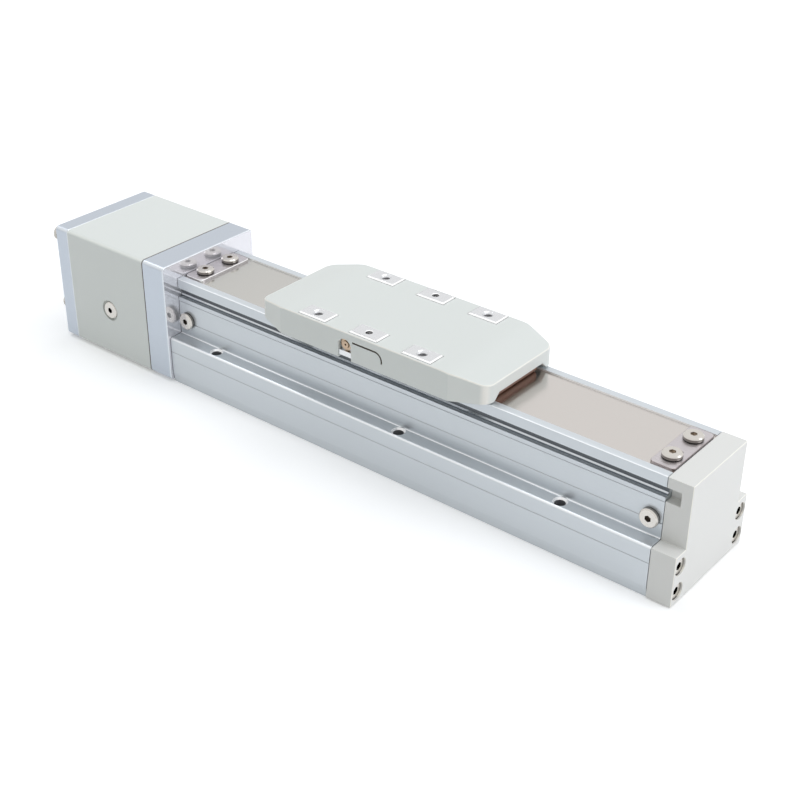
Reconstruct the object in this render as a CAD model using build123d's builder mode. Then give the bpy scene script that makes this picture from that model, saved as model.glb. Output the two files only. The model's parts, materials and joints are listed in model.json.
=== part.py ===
from build123d import *
from math import cos, radians, sin
import os

# Ball screw linear stage, in millimetres
# X runs from the drive end to the far end, +Z is up, and the origin is on the underside,
# in the middle of the base profile. The carriage stands where its rest position puts it.

os.makedirs("parts", exist_ok=True)

# Base profile
profile_length = 252.0
joint_gap = 0.25
base_width = 54.0
body_width = 40.0
body_height = 50.0
flange_height = 22.7
floor_thickness = 4.5
wall_thickness = 4.0
bevel_height = 4.9
bevel_depth = 0.8
flange_edge_radius = 1.2
body_edge_radius = 0.5
flange_root_radius = 0.8
lip_width = 3.6
strip_recess = 1.0
ledge_reach = 2.2
ledge_thickness = 2.0
sensor_groove_drop = 9.0
sensor_groove_height = 4.4
sensor_groove_depth = 2.2
score_line_depth = 0.25
score_line_drop = 11.0
flange_score_height = 15.6

# Mounting holes down through the flanges, measured from the drive end of the profile
mounting_hole_stations = (25.9, 131.0, 210.0)
mounting_hole_inset = 3.9
mounting_hole_diameter = 4.5
mounting_hole_rim = 6.1

# Screw line and drive box
screw_drop = 1.35
box_overhang = 1.5
box_lift = 0.95
box_corner_radius = 2.0
front_plate_thickness = 13.5
coupling_housing_length = 51.3
coupling_housing_wall = 3.5
rear_plate_thickness = 8.3
plate_seam = 0.4
tie_boss_margin = 4.0
tie_screw_inset = 3.4
tie_screw_drop = 5.85
tie_screw_thread = 9.0
lower_tie_recess = 1.2
access_plug_drop = 5.0
access_plug_diameter = 8.3
access_plug_thread = 6.0
access_recess_diameter = 10.1
access_recess_depth = 1.2
access_plug_bevel = 0.35

# Motor side of the rear plate
motor_pilot_diameter = 30.0
motor_pilot_depth = 3.5
motor_bolt_circle = 46.0
motor_tap_diameter = 3.3
motor_shaft_diameter = 8.0
coupling_window_diameter = 26.0

# End cap
end_cap_thickness = 10.4
cap_edge_radius = 0.4
cap_lift = 0.4
cap_notch_length = 6.0
cap_notch_height = 6.0
cap_notch_depth = 4.3

# Screws in the ends of the flanges
cap_screw_inset = 4.2
flange_screw_heights = (5.6, 16.8)
flange_screw_depth = 14.0

# Bearings and their seats
fixed_bore = 8.0
fixed_outer = 22.0
fixed_width = 7.0
fixed_ball = 3.97
fixed_ball_count = 9
support_bore = 6.0
support_outer = 19.0
support_width = 6.0
support_ball = 3.5
support_ball_count = 8
ring_thickness_share = 0.2
groove_clearance = 0.05
cage_thickness = 0.9
cage_rim = 0.5
housing_length = 14.0
retainer_thickness = 2.5
retainer_flange_diameter = 34.0
retainer_screw_circle = 28.0
retainer_screw_count = 4
retainer_tap_depth = 7.0
retainer_screw_length = 8.0
fixed_seat_in_housing = 3.0
support_seat_start = 5.0

# Ball screw
screw_diameter = 12.0
screw_lead = 5.0
screw_ball_diameter = 2.5
screw_ball_circle = 12.3
screw_groove_end = 3.0
shaft_end_bevel = 0.5
coupling_journal_diameter = 6.0
lock_nut_diameter = 16.0
lock_nut_width = 6.5
lock_nut_slot = 3.0
lock_nut_slot_count = 4
collar_diameter = 11.0
circlip_diameter = 9.0
circlip_width = 0.7
circlip_opening = 2.0

# Shaft coupling
coupling_diameter = 25.0
coupling_hub_length = 11.0
coupling_jaw_length = 7.0
coupling_gap = 0.25
jaw_angle = 50.0
spider_leg_angle = 38.0
spider_leg_count = 4
spider_bore = 6.5
spider_ring_thickness = 2.0
jaw_inner_radius = 5.5
clamp_screw_drop = 8.6
clamp_screw_seat = 4.0
clamp_screw_length = 10.0
clamp_slot_width = 1.0

# Linear guide
rail_width = 12.0
rail_height = 7.0
rail_waist = 1.2
rail_waist_share = 0.6
rail_screw_pitch = 25.0
rail_screw_count = 8
rail_end_gap = 0.5
guide_block_width = 27.0
guide_block_top = 16.5
guide_block_lift = 2.7
guide_block_length = 22.0
guide_block_cap_length = 5.0
guide_block_offset = 35.0
guide_screw_spacing_x = 15.0
guide_screw_spacing_y = 20.0
guide_screw_web = 4.0
guide_tap_depth = 3.8
guide_cap_inset = 0.3

# Carriage block
carriage_length = 104.0
carriage_body_gap = 0.7
neck_length = 84.0
neck_gap = 0.4
wing_gap = 0.4
strip_deck_thickness = 2.0
nut_pocket_length = 36.0
nut_pocket_side_gap = 0.2
nut_pocket_top_gap = 0.6
screw_passage_diameter = 13.2
pad_pitch = 27.25
pad_edge_inset = 5.4
pad_length = 14.4
pad_width = 8.4
pad_stand = 0.6
pad_bevel = 0.55
pad_opening_gap = 0.25
wing_side_gap = 0.3
table_tap_diameter = 3.3
table_tap_rim = 5.2
table_tap_depth = 10.0
dowel_diameter = 3.0
dowel_rim = 3.4
dowel_depth = 6.0

# Carriage cover
cover_rise = 11.6
cover_skirt_drop = 0.8
cover_overhang = 0.2
cover_flat_length = 87.5
cover_end_length = 16.0
cover_end_narrowing = 5.3
cover_end_drop = 3.1
cover_end_gap = 0.6
cover_wall = 1.5
cover_roof = 1.8
cover_end_wall = 2.2
cover_end_corner_radius = 5.5
cover_edge_radius = 0.8
cover_side_break_radius = 2.0
cover_slope_radius = 40.0
cover_inner_slope_radius = 2.0
mouth_height = 3.0
mouth_side_gap = 1.7
mouth_flare = 3.1
nipple_offset = -8.5
nipple_rise = 5.6
nipple_thread = 3.0
nipple_depth = 5.0
nipple_collar_diameter = 5.4
nipple_collar = 0.7
nipple_cone = 0.5
nipple_taper = 20.0
nipple_tip = 3.4
nipple_ledge_rise = 2.7
nipple_ledge_reach = 1.5
notch_gap = 0.3
nipple_bore = 0.9
notch_half_width = 3.4
notch_rise = 8.4
slit_width = 0.5
slit_start = -4.4
slit_end = 10.9
slit_rise = 8.0
slit_drop = 4.5
slit_corner_radius = 3.6

# Ball nut
nut_diameter = 22.0
nut_barrel_length = 25.0
nut_flange_diameter = 34.0
nut_rail_gap = 2.9
nut_flange_width = 25.6
nut_flange_thickness = 5.0
nut_screw_circle = 28.0
nut_wiper_depth = 2.5
nut_wiper_thickness = 2.2
nut_tap_depth = 6.5

# Cover strip, its clamps and magnets
strip_thickness = 0.3
strip_end_gap = 0.4
strip_rise_length = 12.0
strip_lift_clearance = 0.3
clamp_length = 10.5
clamp_side_gap = 0.5
clamp_thickness = 1.2
clamp_corner_radius = 2.0
clamp_bevel = 0.2
clamp_screw_spacing = 15.6
magnet_width = 1.6
magnet_depth = 1.1
magnet_inset = 0.4
press_shoe_length = 3.0
press_shoe_side_gap = 0.7
press_shoe_overlap = 2.4

# Travel and stops
rest_position = -11.6
bumper_length = 7.8
bumper_diameter = 7.0
bumper_seat = 3.0
bumper_side_gap = 5.0
bumper_rise = 10.1

# Fasteners
m4_diameter = 4.0
m3_diameter = 3.0
low_head_diameter = 8.0
low_head_height = 2.0
low_head_socket = 2.5
low_head_bevel = 0.5
cap_head_diameter = 7.0
cap_head_height = 4.0
cap_head_socket = 3.0
cap_head_recess = 0.8
small_head_diameter = 5.5
small_head_height = 3.0
small_head_socket = 2.5
small_head_recess = 0.3
socket_depth_share = 0.6
head_bevel_share = 0.08
ring_start_angle = 45.0
nut_screw_count = 4
motor_bolt_count = 4
side_screw_inset = 5.3
side_screw_rise = 1.1
side_screw_thread = 3.5
clamp_screw_thread = 6.0
thread_end_gap = 1.0

# Fits
thread_gap = 0.05
hole_gap = 0.25
running_gap = 0.5
seat_gap = 0.05
head_gap = 0.2
strip_side_gap = 0.4
part_gap = 0.3
# How far a cutting shape runs past the surface that it opens
cut_overrun = 1.0

# Heights worked out from the sizes above
rail_top = floor_thickness + rail_height
screw_height = (rail_top + body_height) / 2 - screw_drop
strip_seat = body_height - strip_recess
strip_top = strip_seat + strip_thickness
ledge_bottom = strip_seat - ledge_thickness
sensor_groove_bottom = body_height - sensor_groove_drop
score_line_heights = (body_height - score_line_drop, screw_height)
box_bottom = box_lift
box_height = 2 * (screw_height - box_bottom)
tie_low = flange_screw_heights[1]
tie_high = box_bottom + box_height - tie_screw_drop
side_screw_height = screw_height + side_screw_rise
plug_height = screw_height - access_plug_drop
carriage_body_top = ledge_bottom - carriage_body_gap
wing_bottom = body_height + wing_gap
strip_deck_top = wing_bottom + strip_deck_thickness
nut_flange_height = 2 * (screw_height - rail_top - nut_rail_gap)
nut_pocket_top = screw_height + nut_flange_height / 2 + nut_pocket_top_gap
cover_top = body_height + cover_rise
cover_bottom = body_height - cover_skirt_drop
cover_end_bottom = body_height + cover_end_gap
wing_top = cover_top - cover_roof
pad_top = cover_top + pad_stand
nipple_height = body_height + nipple_rise
nipple_ledge_top = body_height + nipple_ledge_rise
notch_top = body_height + notch_rise
slit_top = body_height + slit_rise
slit_bottom = slit_top - slit_drop
press_shoe_top = cover_end_bottom + mouth_height + press_shoe_overlap
bumper_height = screw_height + bumper_rise

# Widths worked out from the sizes above
box_width = base_width + 2 * box_overhang
mounting_hole_spacing = base_width - 2 * mounting_hole_inset
tie_screw_spacing = base_width - 2 * tie_screw_inset
cap_screw_spacing = base_width - 2 * cap_screw_inset
cavity_half = body_width / 2 - wall_thickness
lip_inner = body_width / 2 - lip_width
ledge_inner = cavity_half - ledge_reach
strip_width = 2 * (lip_inner - strip_side_gap)
clamp_width = strip_width - 2 * clamp_side_gap
mouth_half_width = lip_inner - mouth_side_gap
press_shoe_width = 2 * (mouth_half_width - press_shoe_side_gap)
cover_half_width = base_width / 2 + cover_overhang
pad_row_spacing = 2 * (cover_half_width - pad_edge_inset)
wing_outer = cover_half_width - cover_wall - wing_side_gap
nut_pocket_width = nut_flange_width + 2 * nut_pocket_side_gap
bumper_spacing = 2 * (cavity_half - bumper_side_gap)

# Stations along X worked out from the sizes above
profile_left = -profile_length / 2
profile_right = profile_length / 2
extrusion_left = profile_left + joint_gap
extrusion_right = profile_right - joint_gap
front_plate_left = profile_left - front_plate_thickness
housing_left = front_plate_left - coupling_housing_length
rear_face = housing_left - rear_plate_thickness
cap_right = profile_right + end_cap_thickness
inner_left = profile_left + housing_length
inner_right = profile_right - housing_length
side_screw_stations = (profile_left + side_screw_inset, profile_right - side_screw_inset)
fixed_bearing_right = profile_left + fixed_seat_in_housing
fixed_bearing_left = fixed_bearing_right - 2 * fixed_width
support_bearing_left = inner_right + support_seat_start
support_bearing_right = support_bearing_left + support_width
collar_left = front_plate_left - part_gap
lock_nut_left = collar_left - lock_nut_width
coupling_housing_middle = (housing_left + front_plate_left) / 2
screw_hub_left = coupling_housing_middle - coupling_hub_length / 2
jaw_space_left = screw_hub_left - coupling_jaw_length - 2 * coupling_gap
motor_hub_left = jaw_space_left - coupling_hub_length
screw_tip = screw_hub_left + 2 * coupling_gap
cover_half_length = cover_flat_length / 2 + cover_end_length
clamp_left_middle = profile_left + strip_end_gap + clamp_length / 2
clamp_right_middle = profile_right - strip_end_gap - clamp_length / 2


def near(edge, y, z):
    # True for an edge along X at this distance to either side and this height
    return abs(abs(edge.center().Y) - y) < 0.01 and abs(edge.center().Z - z) < 0.01


def low_head_screw(shank_length, shank_diameter):
    """A low head socket screw along Z, with the underside of its head at the origin."""
    with BuildPart() as screw:
        with BuildSketch():
            Circle(low_head_diameter / 2)
        extrude(amount=low_head_height)
        chamfer(screw.edges().group_by(Axis.Z)[-1], length=low_head_bevel)
        with BuildSketch(Plane.XY.offset(low_head_height)):
            RegularPolygon(low_head_socket / 2, 6, major_radius=False)
        extrude(amount=-low_head_height * socket_depth_share, mode=Mode.SUBTRACT)
        with BuildSketch():
            Circle(shank_diameter / 2 - thread_gap)
        extrude(amount=-shank_length)
    return screw.part


def cap_screw(head_diameter, head_height, socket_width, shank_diameter, shank_length):
    """A socket cap screw along Z, with the underside of its head at the origin."""
    with BuildPart() as screw:
        with BuildSketch():
            Circle(head_diameter / 2)
        extrude(amount=head_height)
        chamfer(screw.edges().group_by(Axis.Z)[-1], length=head_height * head_bevel_share)
        with BuildSketch(Plane.XY.offset(head_height)):
            RegularPolygon(socket_width / 2, 6, major_radius=False)
        extrude(amount=-head_height * socket_depth_share, mode=Mode.SUBTRACT)
        with BuildSketch():
            Circle(shank_diameter / 2 - thread_gap)
        extrude(amount=-shank_length)
    return screw.part


def facing(x, y, z, direction):
    """The plane at a point that looks along a direction, on which a screw or hole is placed."""
    return Plane(origin=(x, y, z), x_dir=(0, 0, 1) if direction[2] == 0 else (1, 0, 0), z_dir=direction)


def pair_places(x, spacing, heights, direction):
    """Places at equal distances on both sides of the middle, at each of the heights."""
    half = spacing / 2
    return [facing(x, y, z, direction) for y in (-half, half) for z in heights]


def ring_places(x, circle_diameter, count, direction):
    """Places evenly spaced on a circle round the screw line."""
    places = []
    for step in range(count):
        angle = radians(ring_start_angle + step * 360 / count)
        y = circle_diameter / 2 * cos(angle)
        z = screw_height + circle_diameter / 2 * sin(angle)
        places.append(facing(x, y, z, direction))
    return places


# Base profile
def make_base_profile():
    """The extrusion, a little shorter than the space between the front plate and the end cap."""
    half_base = base_width / 2
    half_body = body_width / 2
    with BuildPart() as base:
        with BuildSketch(Plane.YZ.offset(extrusion_left)):
            with BuildLine():
                Polyline(
                    (0, 0),
                    (half_base - bevel_depth, 0),
                    (half_base, bevel_height),
                    (half_base, flange_height),
                    (half_body, flange_height),
                    (half_body, body_height),
                    (lip_inner, body_height),
                    (lip_inner, strip_seat),
                    (ledge_inner, strip_seat),
                    (ledge_inner, ledge_bottom),
                    (cavity_half, ledge_bottom),
                    (cavity_half, floor_thickness),
                    (0, floor_thickness),
                    (0, 0),
                )
            make_face()
            groove_middle = sensor_groove_bottom + sensor_groove_height / 2
            with Locations((half_body, groove_middle)):
                Rectangle(2 * sensor_groove_depth, sensor_groove_height, mode=Mode.SUBTRACT)
            with Locations(*[(half_body, height) for height in score_line_heights]):
                RegularPolygon(score_line_depth, 4, mode=Mode.SUBTRACT)
            with Locations((half_base, flange_score_height)):
                RegularPolygon(score_line_depth, 4, mode=Mode.SUBTRACT)
            magnet_middle = ledge_inner + magnet_inset + magnet_width / 2
            with Locations((magnet_middle, strip_seat)):
                Rectangle(magnet_width, 2 * magnet_depth, mode=Mode.SUBTRACT)
            mirror(about=Plane.YZ)
        extrude(amount=extrusion_right - extrusion_left)
        long_edges = base.edges().filter_by(Axis.X)
        flange_edges = [edge for edge in long_edges if near(edge, half_base, flange_height)]
        fillet(flange_edges, radius=flange_edge_radius)
        long_edges = base.edges().filter_by(Axis.X)
        root_edges = [edge for edge in long_edges if near(edge, half_body, flange_height)]
        fillet(root_edges, radius=flange_root_radius)
        long_edges = base.edges().filter_by(Axis.X)
        body_edges = [edge for edge in long_edges if near(edge, half_body, body_height)]
        fillet(body_edges, radius=body_edge_radius)
        # Mounting holes down through the flanges
        hole_places = [
            (profile_left + station, side * mounting_hole_spacing / 2, flange_height)
            for station in mounting_hole_stations
            for side in (-1, 1)
        ]
        with Locations(*hole_places):
            CounterSinkHole(mounting_hole_diameter / 2, mounting_hole_rim / 2, counter_sink_angle=90)
        # Tapped holes in both ends of the flanges
        drive_end_places = pair_places(
            extrusion_left, tie_screw_spacing, flange_screw_heights, (-1, 0, 0)
        )
        with Locations(*drive_end_places):
            Hole(m4_diameter / 2, depth=flange_screw_depth)
        far_end_places = pair_places(extrusion_right, cap_screw_spacing, flange_screw_heights, (1, 0, 0))
        with Locations(*far_end_places):
            Hole(m4_diameter / 2, depth=flange_screw_depth)
        # Clearance holes for the screws that hold the bearing housings
        side_places = [
            facing(x, side * half_body, side_screw_height, (0, side, 0))
            for x in side_screw_stations
            for side in (-1, 1)
        ]
        with Locations(*side_places):
            Hole(m4_diameter / 2 + hole_gap, depth=wall_thickness)
        # Tapped holes under the guide rail
        with Locations((0, 0, floor_thickness)):
            with GridLocations(rail_screw_pitch, 1, rail_screw_count, 1):
                Hole(m3_diameter / 2, depth=floor_thickness)
    base.part.label = "base_profile"
    export_step(base.part, "parts/base_profile.step")


def make_strip_magnets():
    magnet_middle = ledge_inner + magnet_inset + magnet_width / 2
    with BuildPart() as magnets:
        with BuildSketch(Plane.YZ.offset(inner_left)):
            for side in (-1, 1):
                with Locations((side * magnet_middle, strip_seat - magnet_depth / 2)):
                    Rectangle(magnet_width - 2 * seat_gap, magnet_depth)
        extrude(amount=inner_right - inner_left)
    magnets.part.label = "strip_magnets"
    export_step(magnets.part, "parts/strip_magnets.step")


# Drive box
def box_sketch(width, height, radius):
    """The rounded square outline that the two plates and the coupling housing share."""
    with Locations((0, screw_height)):
        RectangleRounded(width, height, radius)


def make_front_plate():
    with BuildPart() as plate:
        with BuildSketch(Plane.YZ.offset(front_plate_left)):
            box_sketch(box_width, box_height, box_corner_radius)
        extrude(amount=front_plate_thickness)
        chamfer(plate.faces().filter_by(Axis.X).edges(), length=plate_seam)
        with Locations(facing(front_plate_left, 0, screw_height, (-1, 0, 0))):
            Hole(fixed_outer / 2 + thread_gap)
        flange_places = pair_places(
            front_plate_left, tie_screw_spacing, flange_screw_heights[:1], (-1, 0, 0)
        )
        with Locations(*flange_places):
            CounterBoreHole(
                m4_diameter / 2 + hole_gap,
                cap_head_diameter / 2 + head_gap,
                cap_head_height + cap_head_recess,
            )
        # The upper tie screws end in this plate and the lower ones pass through it
        with Locations(*pair_places(front_plate_left, tie_screw_spacing, (tie_high,), (-1, 0, 0))):
            Hole(m4_diameter / 2, depth=tie_screw_thread)
        with Locations(*pair_places(front_plate_left, tie_screw_spacing, (tie_low,), (-1, 0, 0))):
            Hole(m4_diameter / 2 + hole_gap)
        retainer_places = ring_places(
            front_plate_left, retainer_screw_circle, retainer_screw_count, (-1, 0, 0)
        )
        with Locations(*retainer_places):
            Hole(m3_diameter / 2, depth=retainer_tap_depth)
    plate.part.label = "front_plate"
    export_step(plate.part, "parts/front_plate.step")


def make_front_plate_screws():
    seat = front_plate_left + cap_head_height + cap_head_recess
    length = profile_left - seat + flange_screw_depth - thread_end_gap
    one = cap_screw(cap_head_diameter, cap_head_height, cap_head_socket, m4_diameter, length)
    with BuildPart() as screws:
        with Locations(*pair_places(seat, tie_screw_spacing, flange_screw_heights[:1], (-1, 0, 0))):
            add(one)
    screws.part.label = "front_plate_screws"
    export_step(screws.part, "parts/front_plate_screws.step")


def make_coupling_housing():
    inner_width = box_width - 2 * coupling_housing_wall
    inner_height = box_height - 2 * coupling_housing_wall
    near_side = -box_width / 2
    with BuildPart() as housing:
        with BuildSketch(Plane.YZ.offset(housing_left)):
            box_sketch(box_width, box_height, box_corner_radius)
            with Locations((0, screw_height)):
                Rectangle(inner_width, inner_height, mode=Mode.SUBTRACT)
            # A boss in each upper corner and a rib on each side for the tie screws
            boss_width = (box_width - tie_screw_spacing) / 2 + tie_boss_margin
            boss_height = tie_screw_drop + tie_boss_margin
            with Locations((0, box_bottom + box_height - boss_height / 2)):
                with GridLocations(box_width - boss_width, 1, 2, 1):
                    RectangleRounded(boss_width, boss_height, box_corner_radius)
            rib_width = boss_width - coupling_housing_wall / 2
            with Locations((0, tie_low)):
                with GridLocations(box_width - coupling_housing_wall - rib_width, 1, 2, 1):
                    Rectangle(rib_width, 2 * tie_boss_margin)
        extrude(amount=coupling_housing_length)
        with Locations(*pair_places(housing_left, tie_screw_spacing, (tie_low, tie_high), (-1, 0, 0))):
            Hole(m4_diameter / 2 + hole_gap)
        with Locations(facing(coupling_housing_middle, near_side, plug_height, (0, -1, 0))):
            CounterBoreHole(
                access_plug_thread / 2,
                access_recess_diameter / 2,
                access_recess_depth,
                depth=coupling_housing_wall,
            )
    housing.part.label = "coupling_housing"
    export_step(housing.part, "parts/coupling_housing.step")


def make_access_plug():
    head_height = access_recess_depth - seat_gap
    with BuildPart() as plug:
        with BuildSketch():
            Circle(access_plug_diameter / 2)
        extrude(amount=head_height)
        chamfer(plug.edges().group_by(Axis.Z)[-1], length=access_plug_bevel)
        with BuildSketch():
            Circle(access_plug_thread / 2 - thread_gap)
        extrude(amount=access_recess_depth - coupling_housing_wall)
        with BuildSketch(Plane.XY.offset(head_height)):
            RegularPolygon(low_head_socket / 2, 6, major_radius=False)
        extrude(amount=-low_head_socket, mode=Mode.SUBTRACT)
    seat = -box_width / 2 + access_recess_depth
    with BuildPart() as placed:
        with Locations(facing(coupling_housing_middle, seat, plug_height, (0, -1, 0))):
            add(plug.part)
    placed.part.label = "access_plug"
    export_step(placed.part, "parts/access_plug.step")


def make_rear_plate():
    with BuildPart() as plate:
        with BuildSketch(Plane.YZ.offset(rear_face)):
            box_sketch(box_width, box_height, box_corner_radius)
        extrude(amount=rear_plate_thickness)
        chamfer(plate.faces().filter_by(Axis.X).edges(), length=plate_seam)
        with Locations(facing(rear_face, 0, screw_height, (-1, 0, 0))):
            CounterBoreHole(coupling_window_diameter / 2, motor_pilot_diameter / 2, motor_pilot_depth)
        with Locations(*ring_places(rear_face, motor_bolt_circle, motor_bolt_count, (-1, 0, 0))):
            Hole(motor_tap_diameter / 2)
        with Locations(*pair_places(rear_face, tie_screw_spacing, (tie_high,), (-1, 0, 0))):
            Hole(m4_diameter / 2 + hole_gap)
        with Locations(*pair_places(rear_face, tie_screw_spacing, (tie_low,), (-1, 0, 0))):
            CounterBoreHole(
                m4_diameter / 2 + hole_gap, cap_head_diameter / 2 + head_gap, lower_tie_recess
            )
    plate.part.label = "rear_plate"
    export_step(plate.part, "parts/rear_plate.step")


def make_tie_screws():
    """Long screws from behind: the upper pair ends in the front plate, the lower pair in the profile."""
    lower_seat = rear_face + lower_tie_recess
    upper_length = front_plate_left - rear_face + tie_screw_thread - thread_end_gap
    lower_length = profile_left - lower_seat + flange_screw_depth - thread_end_gap
    with BuildPart() as screws:
        for seat, height, length in (
            (rear_face, tie_high, upper_length),
            (lower_seat, tie_low, lower_length),
        ):
            with Locations(*pair_places(seat, tie_screw_spacing, (height,), (-1, 0, 0))):
                add(cap_screw(cap_head_diameter, cap_head_height, cap_head_socket, m4_diameter, length))
    screws.part.label = "tie_screws"
    export_step(screws.part, "parts/tie_screws.step")


# Bearings
def revolve_ring(left, width, inner, outer, groove_radius, groove_at):
    """One ball bearing ring round the screw line, with its ball groove."""
    with BuildPart() as ring:
        with BuildSketch(Plane.XZ):
            with Locations((left + width / 2, screw_height + (inner + outer) / 2)):
                Rectangle(width, outer - inner)
            with Locations((left + width / 2, screw_height + groove_at)):
                Circle(groove_radius, mode=Mode.SUBTRACT)
        revolve(axis=Axis((0, 0, screw_height), (1, 0, 0)))
    return ring.part


def make_bearing_rings(lefts, bore, outer, width, ball, outer_name, inner_name):
    """The outer rings and the inner rings of the bearings whose left faces are given."""
    pitch = (bore + outer) / 4
    inner_edge = pitch - ring_thickness_share * (outer - bore) / 2
    outer_edge = pitch + ring_thickness_share * (outer - bore) / 2
    groove = ball / 2 + groove_clearance
    with BuildPart() as outer_rings:
        for left in lefts:
            add(revolve_ring(left, width, outer_edge, outer / 2, groove, pitch))
    outer_rings.part.label = outer_name
    export_step(outer_rings.part, f"parts/{outer_name}.step")
    with BuildPart() as inner_rings:
        for left in lefts:
            add(revolve_ring(left, width, bore / 2 + thread_gap, inner_edge, groove, pitch))
    inner_rings.part.label = inner_name
    export_step(inner_rings.part, f"parts/{inner_name}.step")


def make_bearing_balls(lefts, bore, outer, width, ball, count, name):
    """The balls and cages of the bearings whose left faces are given."""
    pitch = (bore + outer) / 4
    with BuildPart() as balls:
        for left in lefts:
            middle = left + width / 2
            for step in range(count):
                angle = radians(step * 360 / count)
                with Locations((middle, pitch * cos(angle), screw_height + pitch * sin(angle))):
                    Sphere(ball / 2)
    with BuildPart() as cages:
        for left in lefts:
            middle = left + width / 2
            with BuildSketch(Plane.YZ.offset(middle)):
                with Locations((0, screw_height)):
                    Circle(pitch + cage_thickness / 2)
                    Circle(pitch - cage_thickness / 2, mode=Mode.SUBTRACT)
            extrude(amount=ball / 2 + cage_rim, both=True)
            # A round pocket through the cage for each ball
            for step in range(count):
                turn = step * 360 / count
                y = pitch * cos(radians(turn))
                z = screw_height + pitch * sin(radians(turn))
                with Locations(Location((middle, y, z), (turn - 90, 0, 0))):
                    Cylinder(ball / 2 + groove_clearance, ball, mode=Mode.SUBTRACT)
    with BuildPart() as both:
        add(balls.part)
        add(cages.part)
    both.part.label = name
    export_step(both.part, f"parts/{name}.step")


def housing_section():
    """The block that fills the cavity up to the ledges and reaches the strip between them."""
    width = 2 * (cavity_half - seat_gap)
    neck = 2 * (ledge_inner - seat_gap)
    shoulder = ledge_bottom - seat_gap
    with Locations((0, (floor_thickness + shoulder) / 2)):
        Rectangle(width, shoulder - floor_thickness)
    with Locations((0, (floor_thickness + strip_seat) / 2)):
        Rectangle(neck, strip_seat - floor_thickness)


def housing_common_holes(screw_station, inner_face, inward, clamp_middle):
    """The tapped holes for the side screws, the clamp screws and the stop bumpers."""
    block_side = cavity_half - seat_gap
    side_places = [
        facing(screw_station, side * block_side, side_screw_height, (0, side, 0)) for side in (-1, 1)
    ]
    with Locations(*side_places):
        Hole(m4_diameter / 2, depth=side_screw_thread)
    with Locations((clamp_middle, 0, strip_seat)):
        with GridLocations(1, clamp_screw_spacing, 1, 2):
            Hole(m4_diameter / 2, depth=clamp_screw_thread)
    bumper_places = [
        facing(inner_face, side * bumper_spacing / 2, bumper_height, (inward, 0, 0)) for side in (-1, 1)
    ]
    with Locations(*bumper_places):
        Hole(bumper_diameter / 4, depth=bumper_seat)


def make_fixed_bearing_housing():
    with BuildPart() as housing:
        with BuildSketch(Plane.YZ.offset(profile_left)):
            housing_section()
        extrude(amount=housing_length)
        with Locations(facing(profile_left, 0, screw_height, (-1, 0, 0))):
            CounterBoreHole(
                screw_diameter / 2 + running_gap,
                fixed_outer / 2 + thread_gap,
                fixed_seat_in_housing,
            )
        housing_common_holes(side_screw_stations[0], inner_left, 1, clamp_left_middle)
    housing.part.label = "fixed_bearing_housing"
    export_step(housing.part, "parts/fixed_bearing_housing.step")


def make_support_bearing_housing():
    with BuildPart() as housing:
        with BuildSketch(Plane.YZ.offset(inner_right)):
            housing_section()
        extrude(amount=housing_length)
        with Locations(facing(profile_right, 0, screw_height, (1, 0, 0))):
            CounterBoreHole(
                screw_diameter / 2 + running_gap,
                support_outer / 2 + thread_gap,
                housing_length - support_seat_start,
            )
        housing_common_holes(side_screw_stations[1], inner_right, -1, clamp_right_middle)
    housing.part.label = "support_bearing_housing"
    export_step(housing.part, "parts/support_bearing_housing.step")


def make_bearing_retainer():
    with BuildPart() as retainer:
        with BuildSketch(Plane.YZ.offset(front_plate_left)):
            with Locations((0, screw_height)):
                Circle(retainer_flange_diameter / 2)
        extrude(amount=-retainer_thickness)
        with BuildSketch(Plane.YZ.offset(front_plate_left)):
            with Locations((0, screw_height)):
                Circle(fixed_outer / 2 - seat_gap)
        extrude(amount=fixed_bearing_left - front_plate_left)
        with Locations(facing(front_plate_left - retainer_thickness, 0, screw_height, (-1, 0, 0))):
            Hole(lock_nut_diameter / 2 + running_gap)
        places = ring_places(
            front_plate_left - retainer_thickness, retainer_screw_circle, retainer_screw_count, (-1, 0, 0)
        )
        with Locations(*places):
            Hole(m3_diameter / 2 + hole_gap)
    retainer.part.label = "bearing_retainer"
    export_step(retainer.part, "parts/bearing_retainer.step")


def make_retainer_screws():
    one = cap_screw(
        small_head_diameter, small_head_height, small_head_socket, m3_diameter, retainer_screw_length
    )
    places = ring_places(
        front_plate_left - retainer_thickness, retainer_screw_circle, retainer_screw_count, (-1, 0, 0)
    )
    with BuildPart() as screws:
        with Locations(*places):
            add(one)
    screws.part.label = "retainer_screws"
    export_step(screws.part, "parts/retainer_screws.step")


def make_housing_side_screws():
    length = wall_thickness + side_screw_thread - seat_gap
    one = low_head_screw(length, m4_diameter)
    places = [
        facing(x, side * body_width / 2, side_screw_height, (0, side, 0))
        for x in side_screw_stations
        for side in (-1, 1)
    ]
    with BuildPart() as screws:
        with Locations(*places):
            add(one)
    screws.part.label = "housing_side_screws"
    export_step(screws.part, "parts/housing_side_screws.step")


def make_stop_bumpers():
    """Two rubber buttons on each bearing housing, which the carriage block meets last."""
    places = [facing(inner_right, side * bumper_spacing / 2, bumper_height, (-1, 0, 0)) for side in (-1, 1)]
    places += [facing(inner_left, side * bumper_spacing / 2, bumper_height, (1, 0, 0)) for side in (-1, 1)]
    with BuildPart() as bumper:
        with BuildSketch():
            Circle(bumper_diameter / 2)
        extrude(amount=bumper_length)
        fillet(bumper.edges().group_by(Axis.Z)[-1], radius=bumper_diameter * 0.15)
        with BuildSketch():
            Circle(bumper_diameter / 4 - seat_gap)
        extrude(amount=-(bumper_seat - seat_gap))
    with BuildPart() as bumpers:
        with Locations(*places):
            add(bumper.part)
    bumpers.part.label = "stop_bumpers"
    export_step(bumpers.part, "parts/stop_bumpers.step")


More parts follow.
